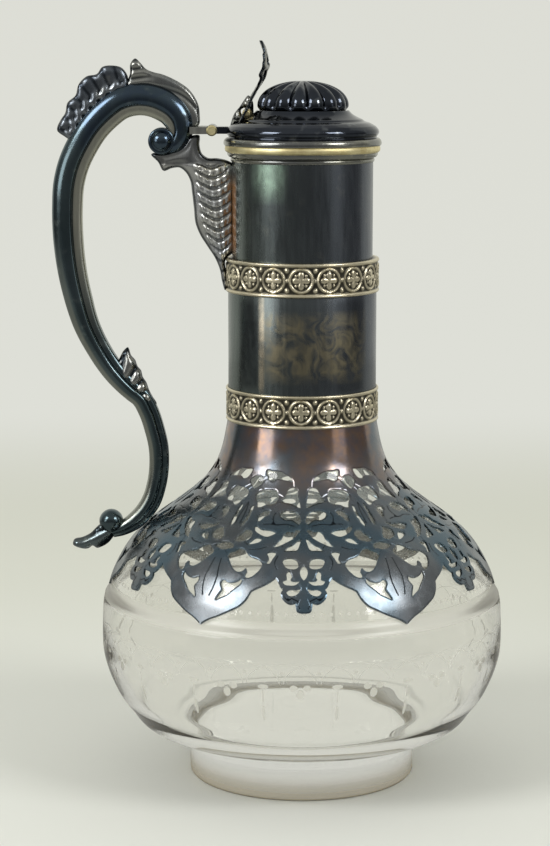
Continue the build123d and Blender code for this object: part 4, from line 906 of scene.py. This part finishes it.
def ribsRound(centre, count, lean):
    # Grooves that run out from a centre, bent by the lean: 0 on the ribs and 1 in the grooves.
    def shape(p):
        d = p - np.array(centre)
        turn = np.arctan2(d[:, 1], d[:, 0]) + lean * np.hypot(d[:, 0], d[:, 1])
        return (0.5 - 0.5 * np.cos(turn * count)) ** 2
    return shape


def consoleCarving(p):
    # A stem of cupped leaves, one above the other, whose rims rise to the sides as 3.2 |s|^1.5
    # with s from -1 to 1 across the stem. Each leaf stands up at its tip, sinks under the one
    # above and has veins. Round the stem is a plain border, and above it a plain shoulder.
    # The carved value also darkens the colour through the relief mark: tarnish left in the hollows, and painted shade
    # where each leaf sinks under the one above.
    x, z = p[:, 0], p[:, 1]
    middle = np.interp(z, [188, 202, 236], [-29.6, -30.6, -34.4])
    reach = np.interp(z, [188, 200, 210, 222, 236], [1.4, 3.2, 5.6, 6.4, 6.6])
    s = (x - middle) / reach
    t = ((z - 3.2 * np.abs(s) ** 1.5) / 3.9) % 1.0
    leaf = 0.7 * ramp(t, 0.42, 0.8) * (1 - ramp(t, 0.9, 1.0)) + 0.35 * (0.5 - 0.5 * np.cos(s * 2 * np.pi * 2.5)) * (1 - t)
    border = ramp(np.abs(s), 0.86, 0.98)
    carved = leaf * (1 - border) + 0.4 * border
    shoulder = ramp(z, 233.6, 234.8)
    return np.clip(carved * (1 - shoulder) + 0.7 * shoulder, 0, 1)


def crestCarving(p):
    # A dark rim with faint upright flutes along the scalloped edge, and below it rows of small
    # bright leaf tips.
    d = p - np.array(archCentre)
    reach, turn = np.hypot(d[:, 0], d[:, 1]), np.arctan2(d[:, 1], d[:, 0])
    flutes = (0.5 - 0.5 * np.cos(turn * 46)) ** 2
    tips = (0.5 - 0.5 * np.cos(turn * 40 + reach * 1.1)) * (0.6 + 0.4 * np.cos(reach * 2.2))
    low = 1 - ramp(reach, 28.0, 30.0)
    return np.clip((0.45 + 0.4 * flutes) * (1 - low) + tips * low, 0, 1)


def ridgeGroove(p):
    # One shallow hollow along the strip, and short cuts across the spur.
    d = p - np.array((-57.0, 235.0))
    reach, turn = np.hypot(d[:, 0], d[:, 1]), np.arctan2(d[:, 1], d[:, 0])
    hollow = 0.7 * np.exp(-(((reach - 27.6 + 3.2 * ramp(-turn, -1.2, -0.4)) / 0.9) ** 2))
    spur = (0.5 - 0.5 * np.cos(reach * 1.9)) * ramp(turn, 1.45, 1.7)
    return np.clip(hollow + 0.8 * spur, 0, 1)


archCentre = (-60.7, 236.8)
addLeaf(
    "crestLeaf",
    [(-88.9, 244.4), (-91.6, 246.6), (-90.2, 250.6), (-88.6, 252.9), (-87.6, 256.9), (-84.6, 259.6), (-83.4, 263.6), (-80.4, 266.6),
     (-76.4, 267.6), (-74.6, 270.0), (-70.9, 270.6), (-67.4, 269.8), (-65.2, 266.9), (-65.4, 262.0), (-68.8, 258.0),
     (-74.2, 255.2), (-78.6, 251.2), (-82.2, 246.4), (-84.6, 242.2)],
    3.1, 2.4, crestCarving, "jug", ["handle_crest_leaf"], spacing=0.6, material=crestPlate,
)
addLeaf(
    "ridgeLeaf",
    [(-65.6, 262.4), (-64.2, 267.8), (-64.0, 271.4), (-62.3, 273.2), (-60.4, 271.6), (-58.4, 269.4), (-55.7, 268.2),
     (-52.4, 267.4), (-49.4, 266.2), (-45.3, 264.0), (-42.3, 261.7), (-40.2, 258.9), (-38.9, 256.2), (-38.4, 252.6), (-38.6, 248.8),
     (-43.4, 246.6), (-45.4, 250.6), (-48.4, 254.4), (-52.6, 257.6), (-57.4, 259.4), (-62.6, 259.6)],
    2.2, 1.4, ridgeGroove, "jug", ["handle_ridge_leaf"], spacing=0.6,
)
addLeaf(
    "kneeLeaf",
    [(-66.2, 165.0), (-64.8, 161.8), (-63.4, 160.2), (-62.4, 157.6), (-61.2, 156.2), (-60.5, 153.6), (-59.2, 151.6), (-58.3, 149.0), (-57.2, 146.6),
     (-55.4, 143.2), (-58.4, 143.0), (-61.6, 146.4), (-64.8, 149.8), (-68.4, 153.4), (-71.2, 157.6), (-69.4, 160.6), (-67.8, 163.6)],
    3.6, 2.4, ribsRound((-72.0, 142.0), 21, 0.0), "jug", ["handle_knee_leaf"],
)
addLeaf(
    "tailLeaf",
    [(-72.4, 99.2), (-75.6, 98.0), (-78.6, 95.6), (-81.0, 93.2), (-84.0, 91.6), (-87.6, 90.4), (-87.9, 88.9), (-85.4, 87.4),
     (-81.8, 87.3), (-80.4, 88.3), (-78.8, 87.4), (-76.6, 88.0), (-74.6, 89.2), (-72.6, 91.4), (-70.6, 94.4), (-70.6, 97.4)],
    3.2, 2.4, ribsRound((-68.0, 101.0), 15, 0.02), "jug", ["handle_tail"], material=tailPlate,
)
addButton("tailKnob", (-73.1, 97.9), [(0, 5.0), (1.8, 4.8), (3.3, 3.7), (4.3, 2.0), (4.6, 0.2)], "jug", handlePlate)
addLeaf(
    "console",
    [(-56.6, 237.6), (-54.1, 235.0), (-51.9, 231.6), (-48.9, 232.6), (-45.9, 232.8), (-43.7, 231.1), (-42.1, 228.2), (-41.4, 223.7),
     (-40.7, 217.4), (-40.2, 212.4), (-38.5, 207.9), (-35.7, 203.4), (-32.8, 198.9), (-31.0, 194.4), (-30.2, 190.0), (-29.0, 186.8),
     (-28.3, 188.4), (-28.3, 199.2), (-26.4, 200.6), (-25.7, 210.0), (-25.7, 222.0), (-25.8, 234.2), (-28.6, 235.6), (-32.0, 236.3), (-35.6, 236.5),
     (-37.6, 238.0), (-38.5, 241.0), (-38.6, 244.8), (-42.0, 244.4), (-45.0, 240.8), (-50.0, 238.8)],
    4.9, 5.4, consoleCarving, "jug", ["handle_console"], spacing=0.45, material=consolePlate,
)
print("leaves made")

thumb = {"bottom": lid["bottom"], "sheet": 1.25}
thumbSide = np.array([
    (-23.6, 249.0), (-22.6, 251.2), (-21.4, 253.4), (-20.2, 256.0), (-19.0, 258.7), (-17.6, 261.2), (-16.2, 263.4), (-14.7, 265.6),
    (-13.9, 268.2), (-12.95, 270.8), (-13.5, 273.3), (-14.3, 276.8), (-15.6, 279.8),
])
thumbLine = smoothLine(thumbSide, count=120)
thumbRise = thumbLine[:, 1] - thumb["bottom"]
frontOutline = [
    (0.0, 4.9), (3.0, 4.95), (6.4, 5.4), (7.1, 7.0), (6.2, 8.8), (6.4, 10.4), (4.6, 11.4), (3.6, 13.4), (2.2, 15.2), (1.9, 17.2), (3.2, 18.8),
    (5.4, 19.8), (5.8, 21.6), (7.3, 23.0), (6.9, 25.4), (7.0, 27.4), (5.4, 28.8), (4.9, 30.8), (3.4, 31.2), (2.9, 33.4), (1.5, 34.4), (0.6, 35.7), (0.0, 35.75),
]
frontHalf = smoothLine(frontOutline, step=0.55)
frontLoop = np.vstack([frontHalf, frontHalf[1:-1][::-1] * (-1, 1)])
halfGaps = [
    [(1.0, 8.8), (2.4, 7.2), (4.2, 7.4), (4.4, 9.2), (2.9, 10.6), (1.6, 11.4)],
    [(0.9, 20.9), (2.8, 20.9), (4.5, 22.6), (4.9, 24.6), (3.2, 24.9), (1.5, 24.2)],
    [(0.9, 27.0), (2.6, 26.8), (3.9, 27.6), (3.0, 29.2), (1.5, 30.6)],
]
gaps = [smoothLine(gap, step=0.5, closed=True) for gap in halfGaps]
gaps += [gap * (-1, 1) for gap in gaps]
thumbFlat, thumbTriangles = pierced(frontLoop, gaps, 0.75)
rib = np.abs(np.sin(thumbFlat[:, 1] * 0.9 + np.abs(thumbFlat[:, 0]) * 0.9)) ** 0.7
spine = np.exp(-((thumbFlat[:, 0] / 0.7) ** 2))
edgeGap = ramp(distanceTo(thumbFlat, [ring(frontLoop)] + [ring(gap) for gap in gaps]), 0.0, 0.7)
thick = thumb["sheet"] / 2 * (0.5 + 0.5 * edgeGap) * (0.75 + 0.25 * rib) + 0.25 * spine
sideX = np.interp(thumbFlat[:, 1], thumbRise, thumbLine[:, 0])
curlBack = -0.035 * thumbFlat[:, 0] ** 2 * ramp(thumbFlat[:, 1], 14, 24)
sheetA = np.stack([sideX + curlBack - thick, thumbFlat[:, 0], thumbFlat[:, 1] + thumb["bottom"]], axis=1)
sheetB = np.stack([sideX + curlBack + thick, thumbFlat[:, 0], thumbFlat[:, 1] + thumb["bottom"]], axis=1)
addPiece(
    "thumbpiece", np.vstack([sheetA, sheetB]), shellFaces(thumbTriangles, len(thumbFlat)), "lid",
    leafPlate, ["thumbpiece"], {"relief": np.tile(rib * edgeGap, 2)}, sharp=60,
)
addLeaf(
    "thumbBracket",
    [(-26.9, 247.4), (-26.4, 250.6), (-25.2, 253.3), (-23.6, 255.2), (-22.0, 257.6), (-20.2, 259.6), (-18.6, 257.4), (-18.3, 254.6),
     (-18.6, 251.9), (-20.8, 250.7), (-23.2, 249.5), (-25.4, 248.4)],
    3.0, 1.8, ribsRound((-27.0, 247.0), 13, 0.25), "lid", (),
    holes=[[(-22.6, 252.6), (-21.2, 253.2), (-21.6, 255.0), (-23.0, 254.2)]],
)
addButton("thumbBead", (-20.6, 252.9), [(0, 4.0), (0.9, 3.9), (1.6, 3.3), (1.9, 2.4), (1.7, 1.4)], "lid", brassMaterial)
print("thumbpiece made")

# The rest of the CAD shows as it is.
for name, material in {
    "bedding_plaster": plasterMaterial,
    "hinge_arm": innerPlate,
    "hinge_pin": brassMaterial,
    "lid_hinge_strap": lidPlate,
    "lid_lining": innerPlate,
    "lid_bezel": innerPlate,
}.items():
    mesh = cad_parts[name].data
    mesh.materials.clear()
    mesh.materials.append(material)

studio = {
    "wall": ("#dedfd7", "#dcdcd4"),  # foot and top of the backdrop
    "floorNear": "#e3e4dd",
    "floorFar": "#dedfd5",
    "depth": 0.9,  # where the floor has turned into the backdrop
    "room": ("#6e6e6e", "#b2b2af"),  # what the metal sees of the room, low and high
}


def paper(name, far):
    # Pale seamless paper: dull and even. The floor's colour turns darker behind the object, painted shade for the
    # light falling off there, and the floor runs into the backdrop, which gives off its own even tone. Metal sees
    # the floor a little darker, and glass sees it without the shadow.
    material, tree, place = blank(name)
    _, y, z = (add(tree, "SeparateXYZ", [place], out=k) for k in range(3))
    climb = add(tree, "MapRange", [z, 0.0, 0.6, 0.0, 1.0])
    tone = add(tree, "Mix", {0: climb, 6: linear(studio["wall"][0]), 7: linear(studio["wall"][1])}, 2, data_type="RGBA")
    result = add(tree, "Emission", {"Color": tone, "Strength": 1.0})
    if far:  # seen from the object's side only, so that a view from behind looks through it
        result = add(tree, "MixShader", [add(tree, "NewGeometry", out="Backfacing"), add(tree, "BsdfTransparent"), result])
    else:
        # painted shade: the floor's colour darkens from near to far, for the light falling off behind the object
        back = add(tree, "MapRange", [y, 0.06, 0.34, 0.0, 1.0], interpolation_type="SMOOTHSTEP")
        colour = add(tree, "Mix", {0: back, 6: linear(studio["floorNear"]), 7: linear(studio["floorFar"])}, 2, data_type="RGBA")
        lit = add(tree, "BsdfPrincipled", {"Base Color": colour, "Roughness": 0.95, "Specular IOR Level": 0.0})
        merge = add(tree, "MapRange", [y, 0.45, studio["depth"], 0.0, 1.0], interpolation_type="SMOOTHSTEP")
        lit = add(tree, "MixShader", [merge, lit, result])
        seen = add(tree, "Emission", {"Color": colour, "Strength": 0.5})
        through = add(tree, "Emission", {"Color": colour, "Strength": 1.0})
        result = add(tree, "MixShader", [add(tree, "LightPath", out="Is Glossy Ray"), lit, seen])
        result = add(tree, "MixShader", [add(tree, "LightPath", out="Is Transmission Ray"), result, through])
    add(tree, "OutputMaterial", [result])
    return material


def addStage(name, points, faces, material):
    mesh = bpy.data.meshes.new(name)
    mesh.from_pydata([tuple(p) for p in points], [], faces)
    mesh.shade_smooth()
    thing = bpy.data.objects.new(name, mesh)
    bpy.context.scene.collection.objects.link(thing)
    mesh.materials.append(material)


addStage("floor", [(-1.3, -0.6, 0), (1.3, -0.6, 0), (1.3, 1.3, 0), (-1.3, 1.3, 0)], [(0, 1, 2, 3)], paper("floorPaper", False))
sweep = np.radians(np.linspace(20, 160, 29))
wall = [(1.15 * np.cos(a), 1.15 * np.sin(a), z) for z in (0.0, 1.6) for a in sweep]
addStage("backdrop", wall, [(k, k + 1, k + 30, k + 29) for k in range(28)], paper("backPaper", True))

world = bpy.data.worlds.new("studio")
bpy.context.scene.world = world
world.use_nodes = True
tree = world.node_tree
tree.nodes.clear()
toward = add(tree, "TexCoord", out="Generated")
_, ahead, up = (add(tree, "SeparateXYZ", [toward], out=k) for k in range(3))
paleSky = add(tree, "Background", {"Color": linear("#d9dad4"), "Strength": 0.8})
climb = add(tree, "MapRange", [up, -0.05, 0.55, 0.0, 1.0])
roomTone = add(tree, "Mix", {0: climb, 6: linear(studio["room"][0]), 7: linear(studio["room"][1])}, 2, data_type="RGBA")
room = add(tree, "Background", {"Color": roomTone, "Strength": 1.0})
behind = add(tree, "MapRange", [ahead, -0.5, 0.2, 0.0, 1.0])
glassTone = add(tree, "Mix", {0: behind, 6: linear("#bfbeb6"), 7: linear("#d6d7cf")}, 2, data_type="RGBA")
glassSky = add(tree, "Background", {"Color": glassTone, "Strength": 1.0})
mixedSky = add(tree, "MixShader", [add(tree, "LightPath", out="Is Glossy Ray"), paleSky, room])
mixedSky = add(tree, "MixShader", [add(tree, "LightPath", out="Is Transmission Ray"), mixedSky, glassSky])
wallSky = add(tree, "Background", {"Color": linear(studio["wall"][0]), "Strength": 1.0})
mixedSky = add(tree, "MixShader", [add(tree, "LightPath", out="Is Camera Ray"), mixedSky, wallSky])
add(tree, "OutputWorld", [mixedSky])


def addLamp(name, look):
    # Softbox: a flat rectangular lamp turned to face its target.
    lamp = bpy.data.lights.new(name, "AREA")
    lamp.shape = "RECTANGLE"
    lamp.size, lamp.size_y = look["size"]
    lamp.energy = look["power"]
    thing = bpy.data.objects.new(name, lamp)
    bpy.context.scene.collection.objects.link(thing)
    turn, reach, height = look["place"]  # degrees from the camera's side, distance, height
    thing.location = (reach * np.sin(np.radians(turn)), -reach * np.cos(np.radians(turn)), height)
    thing.rotation_mode = "QUATERNION"
    thing.rotation_quaternion = (Vector((0, 0, 0.2)) - thing.location).to_track_quat("-Z", "Y")


addLamp("leftSoftbox", {"place": (-54, 1.2, 0.95), "size": (0.58, 0.46), "power": 8.0})
addLamp("rightSoftbox", {"place": (53, 1.2, 0.95), "size": (0.55, 0.46), "power": 7.2})
addLamp("leftFill", {"place": (-56, 1.25, 0.4), "size": (0.5, 0.4), "power": 1.8})
addLamp("rightFill", {"place": (56, 1.25, 0.32), "size": (0.45, 0.4), "power": 0.35})

cameraData = bpy.data.cameras.new("camera")
cameraData.lens = 99.57
cameraData.sensor_width = 36.0
cameraData.sensor_fit = "AUTO"
cameraData.clip_start, cameraData.clip_end = 0.05, 20.0
camera = bpy.data.objects.new("camera", cameraData)
bpy.context.scene.collection.objects.link(camera)
camera.location = (-0.0103, -0.88, 0.28)
camera.rotation_euler = (np.radians(90 - 9.3), 0, 0)
bpy.context.scene.camera = camera
bpy.context.scene.view_settings.view_transform = "Standard"
print("stage made")
